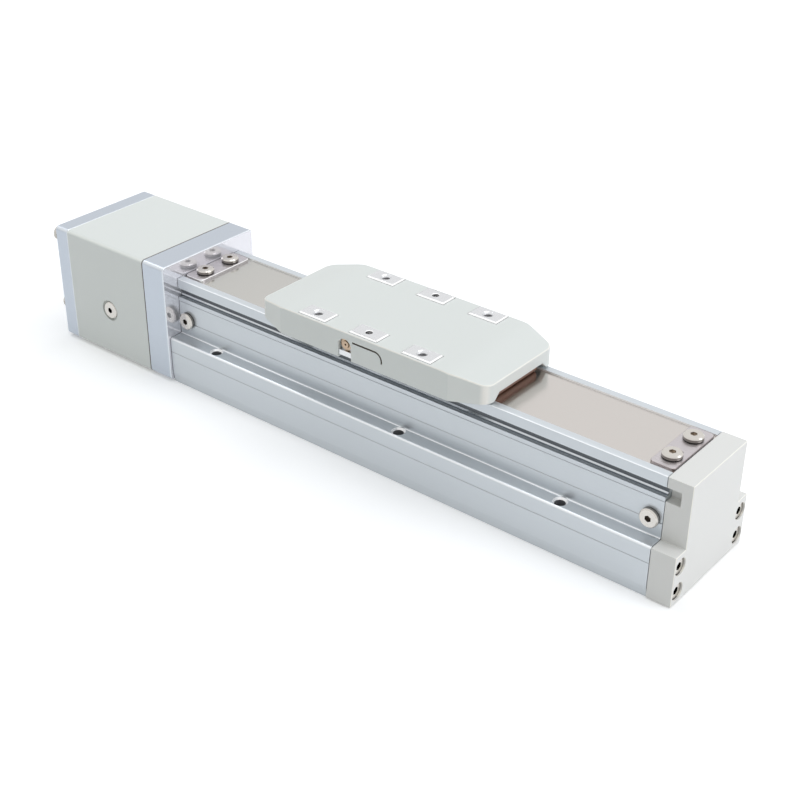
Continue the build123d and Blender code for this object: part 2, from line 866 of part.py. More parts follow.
# End cap
def make_end_cap():
    half_base = base_width / 2
    half_body = body_width / 2
    with BuildPart() as cap:
        with BuildSketch(Plane.YZ.offset(profile_right)):
            with Locations((0, (cap_lift + flange_height) / 2)):
                Rectangle(base_width, flange_height - cap_lift)
            with Locations((0, (cap_lift + body_height) / 2)):
                Rectangle(body_width, body_height - cap_lift)
        extrude(amount=end_cap_thickness)
        outer_face_edges = cap.faces().sort_by(Axis.X)[-1].edges()
        fillet(outer_face_edges, radius=cap_edge_radius)
        # Notches that carry on from the sensor grooves
        notch_middle_z = sensor_groove_bottom + sensor_groove_height - cap_notch_height / 2
        for side in (-1, 1):
            with BuildSketch(Plane.YZ.offset(profile_right)):
                with Locations((side * (half_body - cap_notch_depth / 2), notch_middle_z)):
                    Rectangle(cap_notch_depth, cap_notch_height)
            extrude(amount=cap_notch_length, mode=Mode.SUBTRACT)
        with Locations(*pair_places(cap_right, cap_screw_spacing, flange_screw_heights, (1, 0, 0))):
            CounterBoreHole(
                m4_diameter / 2 + hole_gap,
                cap_head_diameter / 2 + head_gap,
                cap_head_height + cap_head_recess,
            )
    cap.part.label = "end_cap"
    export_step(cap.part, "parts/end_cap.step")


def make_end_cap_screws():
    seat = cap_right - cap_head_height - cap_head_recess
    length = seat - profile_right + flange_screw_depth - thread_end_gap
    one = cap_screw(cap_head_diameter, cap_head_height, cap_head_socket, m4_diameter, length)
    with BuildPart() as screws:
        with Locations(*pair_places(seat, cap_screw_spacing, flange_screw_heights, (1, 0, 0))):
            add(one)
    screws.part.label = "end_cap_screws"
    export_step(screws.part, "parts/end_cap_screws.step")


# Ball screw and what turns with it
def make_ball_screw():
    groove_start = inner_left + screw_groove_end
    groove_end = inner_right - screw_groove_end
    with BuildPart() as shaft:
        with BuildSketch(Plane.YZ.offset(fixed_bearing_right)):
            with Locations((0, screw_height)):
                Circle(screw_diameter / 2)
        extrude(amount=support_bearing_left - fixed_bearing_right)
        with BuildSketch(Plane.YZ.offset(lock_nut_left)):
            with Locations((0, screw_height)):
                Circle(fixed_bore / 2)
        extrude(amount=fixed_bearing_right - lock_nut_left)
        with BuildSketch(Plane.YZ.offset(screw_tip)):
            with Locations((0, screw_height)):
                Circle(coupling_journal_diameter / 2)
        extrude(amount=lock_nut_left - screw_tip)
        with BuildSketch(Plane.YZ.offset(support_bearing_left)):
            with Locations((0, screw_height)):
                Circle(support_bore / 2)
        extrude(amount=support_width + 2 * circlip_width)
        chamfer(shaft.faces().sort_by(Axis.X)[0].edges(), length=shaft_end_bevel)
        chamfer(shaft.faces().sort_by(Axis.X)[-1].edges(), length=shaft_end_bevel)
    path = Helix(
        pitch=screw_lead,
        height=groove_end - groove_start,
        radius=screw_ball_circle / 2,
        center=(groove_start, 0, screw_height),
        direction=(1, 0, 0),
    )
    with BuildPart() as groove:
        with BuildSketch(Plane(origin=path @ 0, z_dir=path % 0)):
            Circle(screw_ball_diameter / 2)
        sweep(path=path, is_frenet=True)
    with BuildPart() as screw:
        add(shaft.part)
        add(groove.part, mode=Mode.SUBTRACT)
    screw.part.label = "ball_screw"
    export_step(screw.part, "parts/ball_screw.step")


def turned_ring(left, right, inner, outer):
    """A plain ring round the screw line."""
    with BuildPart() as ring:
        with BuildSketch(Plane.YZ.offset(left)):
            with Locations((0, screw_height)):
                Circle(outer / 2)
                Circle(inner / 2, mode=Mode.SUBTRACT)
        extrude(amount=right - left)
    return ring.part


def make_bearing_collar():
    with BuildPart() as collar:
        add(turned_ring(collar_left, fixed_bearing_left, fixed_bore + 2 * thread_gap, collar_diameter))
    collar.part.label = "bearing_collar"
    export_step(collar.part, "parts/bearing_collar.step")


def make_lock_nut():
    with BuildPart() as nut:
        add(turned_ring(lock_nut_left, collar_left, fixed_bore + 2 * thread_gap, lock_nut_diameter))
        chamfer(nut.edges().group_by(Axis.X)[0], length=plate_seam)
        # Four spanner slots in the rim
        for step in range(lock_nut_slot_count):
            angle = radians(step * 360 / lock_nut_slot_count)
            slot_y = lock_nut_diameter / 2 * cos(angle)
            slot_z = screw_height + lock_nut_diameter / 2 * sin(angle)
            with Locations((lock_nut_left, slot_y, slot_z)):
                Box(lock_nut_width, lock_nut_slot, lock_nut_slot, mode=Mode.SUBTRACT)
    nut.part.label = "lock_nut"
    export_step(nut.part, "parts/lock_nut.step")


def make_support_circlip():
    left = support_bearing_right
    with BuildPart() as clip:
        ring = turned_ring(left, left + circlip_width, support_bore + 2 * thread_gap, circlip_diameter)
        add(ring)
        with Locations((left + circlip_width / 2, 0, screw_height + circlip_diameter / 2)):
            Box(circlip_width, circlip_opening, circlip_diameter, mode=Mode.SUBTRACT)
    clip.part.label = "support_circlip"
    export_step(clip.part, "parts/support_circlip.step")


def ring_sector(inner, outer, middle_angle, width_angle):
    """The face of a ring sector about the origin, its middle at an angle in degrees."""
    start = middle_angle - width_angle / 2
    with BuildSketch() as sector:
        with BuildLine():
            CenterArc((0, 0), outer, start, width_angle)
            CenterArc((0, 0), inner, start, width_angle)
            for angle in (start, start + width_angle):
                across = cos(radians(angle))
                up = sin(radians(angle))
                Line((inner * across, inner * up), (outer * across, outer * up))
        make_face()
    return sector.sketch


def make_coupling_hub(left, bore, jaw_left, first_jaw, name):
    """A clamping jaw hub: its drum, two jaws, bore, slit and clamp screw hole."""
    middle = left + coupling_hub_length / 2
    with BuildPart() as hub:
        add(turned_ring(left, left + coupling_hub_length, bore, coupling_diameter))
        with BuildSketch(Plane.YZ.offset(jaw_left)):
            with Locations((0, screw_height)):
                for jaw in (first_jaw, first_jaw + 180):
                    add(ring_sector(jaw_inner_radius, coupling_diameter / 2, jaw, jaw_angle))
        extrude(amount=coupling_jaw_length)
        # Clamp slit from the bore to the rim, and the screw across it
        with Locations((middle, 0, screw_height - coupling_diameter / 4)):
            Box(coupling_hub_length, clamp_slot_width, coupling_diameter / 2, mode=Mode.SUBTRACT)
        with Locations(facing(middle, -coupling_diameter / 2, screw_height - clamp_screw_drop, (0, -1, 0))):
            CounterBoreHole(
                m3_diameter / 2,
                small_head_diameter / 2 + head_gap,
                coupling_diameter / 2 - clamp_screw_seat,
            )
    hub.part.label = name
    export_step(hub.part, f"parts/{name}.step")


def make_coupling_spider():
    ring_outer = spider_bore / 2 + spider_ring_thickness
    leg_outer = coupling_diameter / 2 - part_gap
    with BuildPart() as spider:
        with BuildSketch(Plane.YZ.offset(jaw_space_left + coupling_gap)):
            with Locations((0, screw_height)):
                Circle(ring_outer)
                for step in range(spider_leg_count):
                    middle = (step + 0.5) * 360 / spider_leg_count
                    add(ring_sector(spider_bore / 2, leg_outer, middle, spider_leg_angle))
                Circle(spider_bore / 2, mode=Mode.SUBTRACT)
        extrude(amount=coupling_jaw_length)
    spider.part.label = "coupling_spider"
    export_step(spider.part, "parts/coupling_spider.step")


def make_coupling_clamp_screws():
    one = cap_screw(
        small_head_diameter, small_head_height, small_head_socket, m3_diameter, clamp_screw_length
    )
    height = screw_height - clamp_screw_drop
    middles = [left + coupling_hub_length / 2 for left in (screw_hub_left, motor_hub_left)]
    places = [facing(middle, -clamp_screw_seat, height, (0, -1, 0)) for middle in middles]
    with BuildPart() as screws:
        with Locations(*places):
            add(one)
    screws.part.label = "coupling_clamp_screws"
    export_step(screws.part, "parts/coupling_clamp_screws.step")


# Linear guide
def make_guide_rail():
    length = inner_right - inner_left - 2 * rail_end_gap
    waist_middle = floor_thickness + rail_height * rail_waist_share
    with BuildPart() as rail:
        with BuildSketch(Plane.YZ.offset(-length / 2)):
            with Locations((0, floor_thickness + rail_height / 2)):
                Rectangle(rail_width, rail_height)
            with Locations((rail_width / 2, waist_middle), (-rail_width / 2, waist_middle)):
                Circle(rail_waist, mode=Mode.SUBTRACT)
        extrude(amount=length)
        with Locations((0, 0, rail_top)):
            with GridLocations(rail_screw_pitch, 1, rail_screw_count, 1):
                CounterBoreHole(
                    m3_diameter / 2 + hole_gap,
                    small_head_diameter / 2 + head_gap,
                    small_head_height + small_head_recess,
                )
    rail.part.label = "guide_rail"
    export_step(rail.part, "parts/guide_rail.step")


def make_rail_screws():
    seat = rail_top - small_head_height - small_head_recess
    one = cap_screw(small_head_diameter, small_head_height, small_head_socket, m3_diameter, seat - part_gap)
    with BuildPart() as screws:
        with Locations((0, 0, seat)):
            with GridLocations(rail_screw_pitch, 1, rail_screw_count, 1):
                add(one)
    screws.part.label = "rail_screws"
    export_step(screws.part, "parts/rail_screws.step")


def make_guide_block(middle, name):
    """A steel saddle over the rail with four tapped holes in its top."""
    bottom = floor_thickness + guide_block_lift
    with BuildPart() as block:
        with BuildSketch(Plane.YZ.offset(middle - guide_block_length / 2)):
            with Locations((0, (bottom + guide_block_top) / 2)):
                Rectangle(guide_block_width, guide_block_top - bottom)
            with Locations((0, (bottom + rail_top + part_gap) / 2)):
                Rectangle(rail_width + 2 * part_gap, rail_top + part_gap - bottom, mode=Mode.SUBTRACT)
        extrude(amount=guide_block_length)
        with Locations((middle, 0, guide_block_top)):
            with GridLocations(guide_screw_spacing_x, guide_screw_spacing_y, 2, 2):
                Hole(m3_diameter / 2, depth=guide_tap_depth)
    block.part.label = name
    export_step(block.part, f"parts/{name}.step")


def make_guide_block_caps(middles):
    """The plastic end caps of both guide blocks, a little smaller than the blocks."""
    block_bottom = floor_thickness + guide_block_lift
    with BuildPart() as caps:
        for middle in middles:
            block_left = middle - guide_block_length / 2
            for left in (block_left - guide_block_cap_length, block_left + guide_block_length):
                with BuildSketch(Plane.YZ.offset(left)):
                    with Locations((0, (block_bottom + guide_block_top - guide_cap_inset) / 2)):
                        Rectangle(
                            guide_block_width - 2 * guide_cap_inset,
                            guide_block_top - guide_cap_inset - block_bottom,
                        )
                    with Locations((0, (block_bottom + rail_top + part_gap) / 2)):
                        Rectangle(
                            rail_width + 2 * part_gap, rail_top + part_gap - block_bottom, mode=Mode.SUBTRACT
                        )
                extrude(amount=guide_block_cap_length)
    caps.part.label = "guide_block_end_caps"
    export_step(caps.part, "parts/guide_block_end_caps.step")


def make_guide_block_screws(middles):
    one = cap_screw(
        small_head_diameter,
        small_head_height,
        small_head_socket,
        m3_diameter,
        guide_screw_web + guide_tap_depth - part_gap,
    )
    with BuildPart() as screws:
        for middle in middles:
            with Locations((middle, 0, guide_block_top + guide_screw_web)):
                with GridLocations(guide_screw_spacing_x, guide_screw_spacing_y, 2, 2):
                    add(one)
    screws.part.label = "guide_block_screws"
    export_step(screws.part, "parts/guide_block_screws.step")


# Carriage
def make_carriage_block():
    x = rest_position
    body_width_here = 2 * (cavity_half - running_gap)
    neck_width = 2 * (ledge_inner - neck_gap)
    wing_inner = strip_width / 2 + 2 * strip_side_gap
    with BuildPart() as block:
        with BuildSketch(Plane.XY.offset(guide_block_top)):
            with Locations((x, 0)):
                Rectangle(carriage_length, body_width_here)
        extrude(amount=carriage_body_top - guide_block_top)
        with BuildSketch(Plane.XY.offset(carriage_body_top)):
            with Locations((x, 0)):
                Rectangle(neck_length, neck_width)
        extrude(amount=strip_deck_top - carriage_body_top)
        with BuildSketch(Plane.XY.offset(wing_bottom)):
            with Locations((x, 0)):
                Rectangle(neck_length, 2 * wing_outer)
        extrude(amount=strip_deck_top - wing_bottom)
        for side in (-1, 1):
            with BuildSketch(Plane.XY.offset(strip_deck_top)):
                with Locations((x, side * (wing_inner + wing_outer) / 2)):
                    Rectangle(neck_length, wing_outer - wing_inner)
            extrude(amount=wing_top - strip_deck_top)
        # Six pads that come up through the cover
        with BuildSketch(Plane.XY.offset(wing_top)):
            with Locations((x, 0)):
                with GridLocations(pad_pitch, pad_row_spacing, 3, 2):
                    Rectangle(pad_length, pad_width)
        extrude(amount=pad_top - wing_top)
        pad_rims = block.faces().filter_by(Axis.Z).group_by(Axis.Z)[-1].edges()
        chamfer(pad_rims, length=pad_bevel)
        with Locations((x, 0, pad_top)):
            with GridLocations(2 * pad_pitch, pad_row_spacing, 2, 2):
                CounterSinkHole(
                    table_tap_diameter / 2, table_tap_rim / 2, depth=table_tap_depth, counter_sink_angle=90
                )
        with Locations((x, 0, pad_top)):
            with GridLocations(1, pad_row_spacing, 1, 2):
                CounterSinkHole(dowel_diameter / 2, dowel_rim / 2, depth=dowel_depth, counter_sink_angle=90)
        # Pocket for the nut, open below, and the passage for the screw
        with Locations((x, 0, (guide_block_top + nut_pocket_top) / 2)):
            Box(
                nut_pocket_length, nut_pocket_width, nut_pocket_top - guide_block_top, mode=Mode.SUBTRACT
            )
        with Locations((x, 0, screw_height)):
            Cylinder(screw_passage_diameter / 2, carriage_length, rotation=(0, 90, 0), mode=Mode.SUBTRACT)
        nut_screw_start = x - nut_pocket_length / 2
        with Locations(*ring_places(nut_screw_start, nut_screw_circle, nut_screw_count, (1, 0, 0))):
            Hole(m3_diameter / 2, depth=nut_tap_depth)
        # Deep holes for the screws into the guide blocks
        for middle in (x - guide_block_offset, x + guide_block_offset):
            with Locations((middle, 0, strip_deck_top)):
                with GridLocations(guide_screw_spacing_x, guide_screw_spacing_y, 2, 2):
                    CounterBoreHole(
                        m3_diameter / 2 + hole_gap,
                        small_head_diameter / 2 + head_gap,
                        strip_deck_top - guide_block_top - guide_screw_web,
                    )
        # Ledge under the grease nipple, in the cover's notch, and the nipple's tapped hole
        with BuildSketch(Plane.XY.offset(wing_bottom)):
            with Locations((x + nipple_offset, -wing_outer - nipple_ledge_reach / 2)):
                Rectangle(2 * (notch_half_width - notch_gap), nipple_ledge_reach)
        extrude(amount=nipple_ledge_top - wing_bottom)
        with Locations(facing(x + nipple_offset, -wing_outer, nipple_height, (0, -1, 0))):
            Hole(nipple_thread / 2, depth=nipple_depth)
    block.part.label = "carriage_block"
    export_step(block.part, "parts/carriage_block.step")


def cover_form(inset, roof, end_wall, end_bottom, slope_radius):
    """The cover's form, made smaller by a wall: level in the middle, falling and narrowing at the ends."""
    x = rest_position
    flat_half = cover_flat_length / 2
    end_half = flat_half + cover_end_length - end_wall
    side = cover_half_width - inset
    end_side = side - cover_end_narrowing
    top = cover_top - roof
    with BuildPart() as form:
        with BuildSketch(Plane.XY.offset(cover_bottom)) as plan:
            with BuildLine():
                Polyline(
                    (x - end_half, -end_side),
                    (x - flat_half, -side),
                    (x + flat_half, -side),
                    (x + end_half, -end_side),
                    (x + end_half, end_side),
                    (x + flat_half, side),
                    (x - flat_half, side),
                    (x - end_half, end_side),
                    close=True,
                )
            make_face()
            fillet(plan.vertices().group_by(Axis.X)[0], radius=cover_end_corner_radius)
            fillet(plan.vertices().group_by(Axis.X)[-1], radius=cover_end_corner_radius)
            break_corners = plan.vertices().filter_by(
                lambda corner: abs(abs(corner.X - x) - flat_half) < seat_gap
            )
            fillet(break_corners, radius=cover_side_break_radius)
        extrude(amount=top - cover_bottom)
        with BuildSketch(Plane.XZ.offset(side)) as profile:
            with BuildLine():
                Polyline(
                    (x - end_half, end_bottom),
                    (x - flat_half, cover_bottom),
                    (x + flat_half, cover_bottom),
                    (x + end_half, end_bottom),
                    (x + end_half, top - cover_end_drop),
                    (x + flat_half, top),
                    (x - flat_half, top),
                    (x - end_half, top - cover_end_drop),
                    close=True,
                )
            make_face()
            fillet(profile.vertices().group_by(Axis.Y)[-1], radius=slope_radius)
        extrude(amount=-2 * side, mode=Mode.INTERSECT)
    return form.part


def make_carriage_cover():
    x = rest_position
    end_top = cover_top - cover_end_drop
    inner = cover_form(cover_wall, cover_roof, cover_end_wall, cover_bottom, cover_inner_slope_radius)
    with BuildPart() as cover:
        add(cover_form(0, 0, 0, cover_end_bottom, cover_slope_radius))
        rim = cover.edges().filter_by(
            lambda edge: edge.center().Z > end_top - cover_edge_radius
            and (abs(edge.center().Y) > seat_gap or abs(edge.center().X - x) > cover_half_length - seat_gap)
        )
        fillet(rim, radius=cover_edge_radius)
        add(inner, mode=Mode.SUBTRACT)
        # Mouths over the strip at both ends, wider towards the strip
        mouth_top = cover_end_bottom + mouth_height
        with BuildSketch(Plane.YZ.offset(x - cover_half_length - cut_overrun)):
            with BuildLine():
                Polyline(
                    (-mouth_half_width - mouth_flare, cover_end_bottom - cut_overrun),
                    (-mouth_half_width - mouth_flare, cover_end_bottom),
                    (-mouth_half_width, mouth_top),
                    (mouth_half_width, mouth_top),
                    (mouth_half_width + mouth_flare, cover_end_bottom),
                    (mouth_half_width + mouth_flare, cover_end_bottom - cut_overrun),
                    close=True,
                )
            make_face()
        extrude(amount=2 * (cover_half_length + cut_overrun), mode=Mode.SUBTRACT)
        # Openings for the six pads
        with BuildSketch(Plane.XY.offset(cover_top + cut_overrun)):
            with Locations((x, 0)):
                with GridLocations(pad_pitch, pad_row_spacing, 3, 2):
                    Rectangle(pad_length + 2 * pad_opening_gap, pad_width + 2 * pad_opening_gap)
        extrude(amount=-cover_roof - 2 * cut_overrun, mode=Mode.SUBTRACT)
        # Notch over the grease nipple and the slit of the snap tab, in the near skirt
        with BuildSketch(Plane.XZ.offset(cover_half_width + cut_overrun)):
            notch_floor = cover_bottom - cut_overrun
            notch_shoulder = notch_top - notch_half_width
            with Locations((x + nipple_offset, (notch_floor + notch_shoulder) / 2)):
                Rectangle(2 * notch_half_width, notch_shoulder - notch_floor)
            with Locations((x + nipple_offset, notch_top - notch_half_width)):
                Circle(notch_half_width)
            corner_x = x + slit_end - slit_corner_radius
            corner_z = slit_top - slit_corner_radius
            with BuildLine() as slit:
                Line((x + slit_start, slit_top), (corner_x, slit_top))
                CenterArc((corner_x, corner_z), slit_corner_radius, 0, 90)
                Line((x + slit_end, corner_z), (x + slit_end, slit_bottom))
            trace(slit.line, line_width=slit_width)
        extrude(amount=-cover_wall - 2 * cut_overrun, mode=Mode.SUBTRACT)
    cover.part.label = "carriage_cover"
    export_step(cover.part, "parts/carriage_cover.step")


def make_ball_nut():
    x = rest_position - nut_pocket_length / 2
    bore = screw_diameter + 2 * part_gap
    with BuildPart() as nut:
        with BuildSketch(Plane.YZ.offset(x)):
            with Locations((0, screw_height)):
                Circle(nut_flange_diameter / 2)
                Rectangle(nut_flange_width, nut_flange_height, mode=Mode.INTERSECT)
        extrude(amount=nut_flange_thickness)
        with BuildSketch(Plane.YZ.offset(x + nut_flange_thickness)):
            with Locations((0, screw_height)):
                Circle(nut_diameter / 2)
        extrude(amount=nut_barrel_length)
        with Locations(facing(x + nut_flange_thickness + nut_barrel_length, 0, screw_height, (1, 0, 0))):
            CounterBoreHole(bore / 2, bore / 2 + nut_wiper_thickness, nut_wiper_depth)
        with Locations(*ring_places(x + nut_flange_thickness, nut_screw_circle, nut_screw_count, (1, 0, 0))):
            Hole(m3_diameter / 2 + hole_gap)
    nut.part.label = "ball_nut"
    export_step(nut.part, "parts/ball_nut.step")


def make_nut_screws():
    x = rest_position - nut_pocket_length / 2 + nut_flange_thickness
    length = nut_flange_thickness + nut_tap_depth - thread_end_gap
    one = cap_screw(small_head_diameter, small_head_height, small_head_socket, m3_diameter, length)
    with BuildPart() as screws:
        with Locations(*ring_places(x, nut_screw_circle, nut_screw_count, (1, 0, 0))):
            add(one)
    screws.part.label = "nut_screws"
    export_step(screws.part, "parts/nut_screws.step")


def make_nut_wiper():
    right = rest_position - nut_pocket_length / 2 + nut_flange_thickness + nut_barrel_length
    inner = screw_diameter + 2 * part_gap
    outer = inner + 2 * nut_wiper_thickness - 2 * seat_gap
    with BuildPart() as wiper:
        add(turned_ring(right - nut_wiper_depth, right, inner, outer))
    wiper.part.label = "nut_wiper"
    export_step(wiper.part, "parts/nut_wiper.step")


def make_grease_nipple():
    with BuildPart() as nipple:
        with BuildSketch():
            Circle(nipple_collar_diameter / 2)
        extrude(amount=nipple_collar)
        with BuildSketch(Plane.XY.offset(nipple_collar)):
            Circle(nipple_tip / 2)
        extrude(amount=nipple_cone, taper=nipple_taper)
        with BuildSketch():
            Circle(nipple_bore / 2)
        extrude(amount=nipple_collar + nipple_cone, mode=Mode.SUBTRACT)
        with BuildSketch():
            Circle(nipple_thread / 2 - thread_gap)
        extrude(amount=part_gap - nipple_depth)
    with BuildPart() as placed:
        with Locations(facing(rest_position + nipple_offset, -wing_outer, nipple_height, (0, -1, 0))):
            add(nipple.part)
    placed.part.label = "grease_nipple"
    export_step(placed.part, "parts/grease_nipple.step")


def make_strip_press_shoes():
    inner_end = cover_half_length - cover_end_wall
    bottom = strip_top + part_gap
    with BuildPart() as shoes:
        for side in (-1, 1):
            middle = rest_position + side * (inner_end - press_shoe_length / 2)
            with BuildSketch(Plane.XZ.offset(press_shoe_width / 2)):
                with Locations((middle, (bottom + press_shoe_top) / 2)):
                    Rectangle(press_shoe_length, press_shoe_top - bottom)
            extrude(amount=-press_shoe_width)
        fillet(shoes.edges().filter_by(Axis.Y).group_by(Axis.Z)[0], radius=press_shoe_length * 0.35)
    shoes.part.label = "strip_press_shoes"
    export_step(shoes.part, "parts/strip_press_shoes.step")


# Cover strip
def make_cover_strip():
    """The steel strip, flat on its seat and lifted over the carriage block by two S bends a side."""
    left = profile_left + strip_end_gap
    right = profile_right - strip_end_gap
    lift = strip_deck_top + strip_lift_clearance - strip_seat
    top_half = neck_length / 2 + part_gap
    foot_half = top_half + strip_rise_length
    x = rest_position
    mid_half = (top_half + foot_half) / 2
    mid_z = strip_seat + lift / 2
    high_z = strip_seat + lift
    with BuildPart() as strip:
        with BuildSketch(Plane.XZ.offset(strip_width / 2)):
            with BuildLine() as run:
                Line((left, strip_seat), (x - foot_half, strip_seat))
                TangentArc((x - foot_half, strip_seat), (x - mid_half, mid_z), tangent=(1, 0))
                TangentArc((x - top_half, high_z), (x - mid_half, mid_z), tangent=(-1, 0))
                Line((x - top_half, high_z), (x + top_half, high_z))
                TangentArc((x + top_half, high_z), (x + mid_half, mid_z), tangent=(1, 0))
                TangentArc((x + foot_half, strip_seat), (x + mid_half, mid_z), tangent=(-1, 0))
                Line((x + foot_half, strip_seat), (right, strip_seat))
                offset(amount=strip_thickness, side=Side.LEFT)
            make_face()
        extrude(amount=-strip_width)
        for middle in (clamp_left_middle, clamp_right_middle):
            with Locations((middle, 0, strip_top)):
                with GridLocations(1, clamp_screw_spacing, 1, 2):
                    Hole(m4_diameter / 2 + hole_gap, depth=2 * strip_thickness)
    strip.part.label = "cover_strip"
    export_step(strip.part, "parts/cover_strip.step")


def make_strip_clamp(middle, name):
    with BuildPart() as clamp:
        with BuildSketch(Plane.XY.offset(strip_top)):
            with Locations((middle, 0)):
                RectangleRounded(clamp_length, clamp_width, clamp_corner_radius)
        extrude(amount=clamp_thickness)
        chamfer(clamp.edges().group_by(Axis.Z)[-1], length=clamp_bevel)
        with Locations((middle, 0, strip_top + clamp_thickness)):
            with GridLocations(1, clamp_screw_spacing, 1, 2):
                Hole(m4_diameter / 2 + hole_gap)
    clamp.part.label = name
    export_step(clamp.part, f"parts/{name}.step")


def make_strip_clamp_screws():
    seat = strip_top + clamp_thickness
    length = clamp_thickness + strip_thickness + clamp_screw_thread - thread_end_gap
    one = low_head_screw(length, m4_diameter)
    with BuildPart() as screws:
        for middle in (clamp_left_middle, clamp_right_middle):
            with Locations((middle, 0, seat)):
                with GridLocations(1, clamp_screw_spacing, 1, 2):
                    add(one)
    screws.part.label = "strip_clamp_screws"
    export_step(screws.part, "parts/strip_clamp_screws.step")


fixed_lefts = (fixed_bearing_left, fixed_bearing_left + fixed_width)
support_lefts = (support_bearing_left,)
guide_middles = (rest_position - guide_block_offset, rest_position + guide_block_offset)

make_base_profile()
make_strip_magnets()
make_front_plate()
make_front_plate_screws()
make_coupling_housing()
make_access_plug()
make_rear_plate()
make_tie_screws()
make_fixed_bearing_housing()
make_support_bearing_housing()
make_bearing_retainer()
make_retainer_screws()
make_housing_side_screws()
make_stop_bumpers()
make_end_cap()
make_end_cap_screws()
make_bearing_rings(
    fixed_lefts, fixed_bore, fixed_outer, fixed_width, fixed_ball,
    "fixed_bearing_outer_rings", "fixed_bearing_inner_rings",
)
make_bearing_balls(
    fixed_lefts, fixed_bore, fixed_outer, fixed_width, fixed_ball, fixed_ball_count, "fixed_bearing_balls"
)
make_bearing_rings(
    support_lefts, support_bore, support_outer, support_width, support_ball,
    "support_bearing_outer_ring", "support_bearing_inner_ring",
)
make_bearing_balls(
    support_lefts, support_bore, support_outer, support_width, support_ball, support_ball_count,
    "support_bearing_balls",
)
make_ball_screw()
make_bearing_collar()
make_lock_nut()
make_support_circlip()
make_coupling_hub(
    screw_hub_left,
    coupling_journal_diameter + 2 * thread_gap,
    screw_hub_left - coupling_jaw_length,
    0,
    "coupling_hub_screw_side",
)
make_coupling_hub(motor_hub_left, motor_shaft_diameter, jaw_space_left, 90, "coupling_hub_motor_side")
make_coupling_spider()
make_coupling_clamp_screws()
make_guide_rail()
make_rail_screws()
make_guide_block(guide_middles[0], "guide_block_drive_side")
make_guide_block(guide_middles[1], "guide_block_far_side")
make_guide_block_caps(guide_middles)
make_guide_block_screws(guide_middles)
make_carriage_block()
make_carriage_cover()
make_ball_nut()
make_nut_screws()
make_nut_wiper()
make_grease_nipple()
make_strip_press_shoes()
make_cover_strip()
make_strip_clamp(clamp_left_middle, "strip_clamp_drive_end")
make_strip_clamp(clamp_right_middle, "strip_clamp_far_end")
make_strip_clamp_screws()
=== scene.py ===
# %% [markdown]
# # Ball screw linear stage
#
# The looks of a covered ball screw linear stage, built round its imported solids.
# Lengths are in metres. +X runs from the motor end to the end cap, +Z is up, and the origin
# is on the underside, in the middle of the base profile.

import json
from math import cos, pi, radians, sin

import bpy
from mathutils import Matrix, Vector


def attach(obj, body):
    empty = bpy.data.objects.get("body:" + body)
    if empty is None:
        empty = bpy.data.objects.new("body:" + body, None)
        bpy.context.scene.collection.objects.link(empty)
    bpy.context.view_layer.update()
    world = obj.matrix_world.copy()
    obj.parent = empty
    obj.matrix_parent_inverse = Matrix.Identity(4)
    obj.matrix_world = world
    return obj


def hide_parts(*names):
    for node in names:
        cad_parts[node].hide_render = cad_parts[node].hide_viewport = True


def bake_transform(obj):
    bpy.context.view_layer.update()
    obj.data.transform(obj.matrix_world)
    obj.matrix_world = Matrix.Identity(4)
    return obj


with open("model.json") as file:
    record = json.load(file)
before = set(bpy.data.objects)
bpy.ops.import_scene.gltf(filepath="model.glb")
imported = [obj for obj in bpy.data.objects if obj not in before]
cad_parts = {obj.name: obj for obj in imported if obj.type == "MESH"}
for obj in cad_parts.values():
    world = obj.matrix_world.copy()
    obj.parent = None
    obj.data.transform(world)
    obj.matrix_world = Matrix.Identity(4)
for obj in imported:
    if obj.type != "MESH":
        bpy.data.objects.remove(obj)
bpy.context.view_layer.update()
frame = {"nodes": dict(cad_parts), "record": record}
nodes = frame["nodes"]

# %% [markdown]
# ## Places
#
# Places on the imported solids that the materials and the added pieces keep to. A pair of lines
# is (axis, middle, offset), with one line at each side of the middle. A zone of the profile's
# section is (Y low, Y high, Z low, Z high), and counts on both sides of the profile.

# %%
# Base profile
PROFILE_END = 0.12575
GROOVE_WALL = 0.01775
GROOVE_FLOOR = 0.0410
# Zones of the section whose fillets get a painted highlight
PAINTED_HIGHLIGHT_ZONES = (
    (0.0255, 0.0271, 0.0205, 0.0228),
    (0.02008, 0.02042, 0.02278, 0.02312),
    (0.0160, 0.0201, 0.0492, 0.0501),
)
# Score lines, darkened with painted shade
SCORE_LINES = (
    (0.0260, 0.02697, 0.0150, 0.0162),
    (0.0195, 0.01997, 0.0290, 0.0298),
    (0.0195, 0.01997, 0.0386, 0.0394),
)
# The groove's back wall and floor, darkened with painted shade
GROOVE_BACK_SHADE = (0.0176, 0.01785, 0.0409, 0.0455)
GROOVE_BOTTOM_SHADE = (0.01785, 0.0199, 0.0409, 0.0411)
# The lips' inner walls, brightened with painted light
LIP_WALL_LIGHT = (0.0160, 0.01645, 0.0492, 0.04998)
MOUNTING_OUTER = ("X", -0.00805, 0.09205)
MOUNTING_MIDDLE = ("X", 0.005, 0)
MOUNTING_SIDES = ("Y", 0, 0.0231)
# The mounting holes' rims get a painted highlight, and their bores painted shade
MOUNTING_RIM_RADIUS = 0.0031
MOUNTING_RIM_FOOT = 0.0218
MOUNTING_RIM_TOP = 0.02268
MOUNTING_BORE_RADIUS = 0.00235
MOUNTING_BORE_TOP = 0.0219

# Box, plates and end cap
# The box's joint to the front plate gets painted shade
BOX_JOINT = -0.1395
BOX_JOINT_WIDTH = 0.00022
POLISHED_FACE = -0.12602
REAR_FACE = -0.1991
SCREW_LINE = 0.0294
MOTOR_CIRCLE_RADIUS = 0.0230
CAP_SIDE = 0.0269
CAP_END = 0.1357
# The counterbores' walls get painted shade, and spots of painted shadow lie below the screws
CAP_BORE_RADIUS = 0.0043
CAP_SHADOW_ROWS = ("Z", 0.0074, 0.0056)
CAP_SHADOW_RADIUS = 0.0015

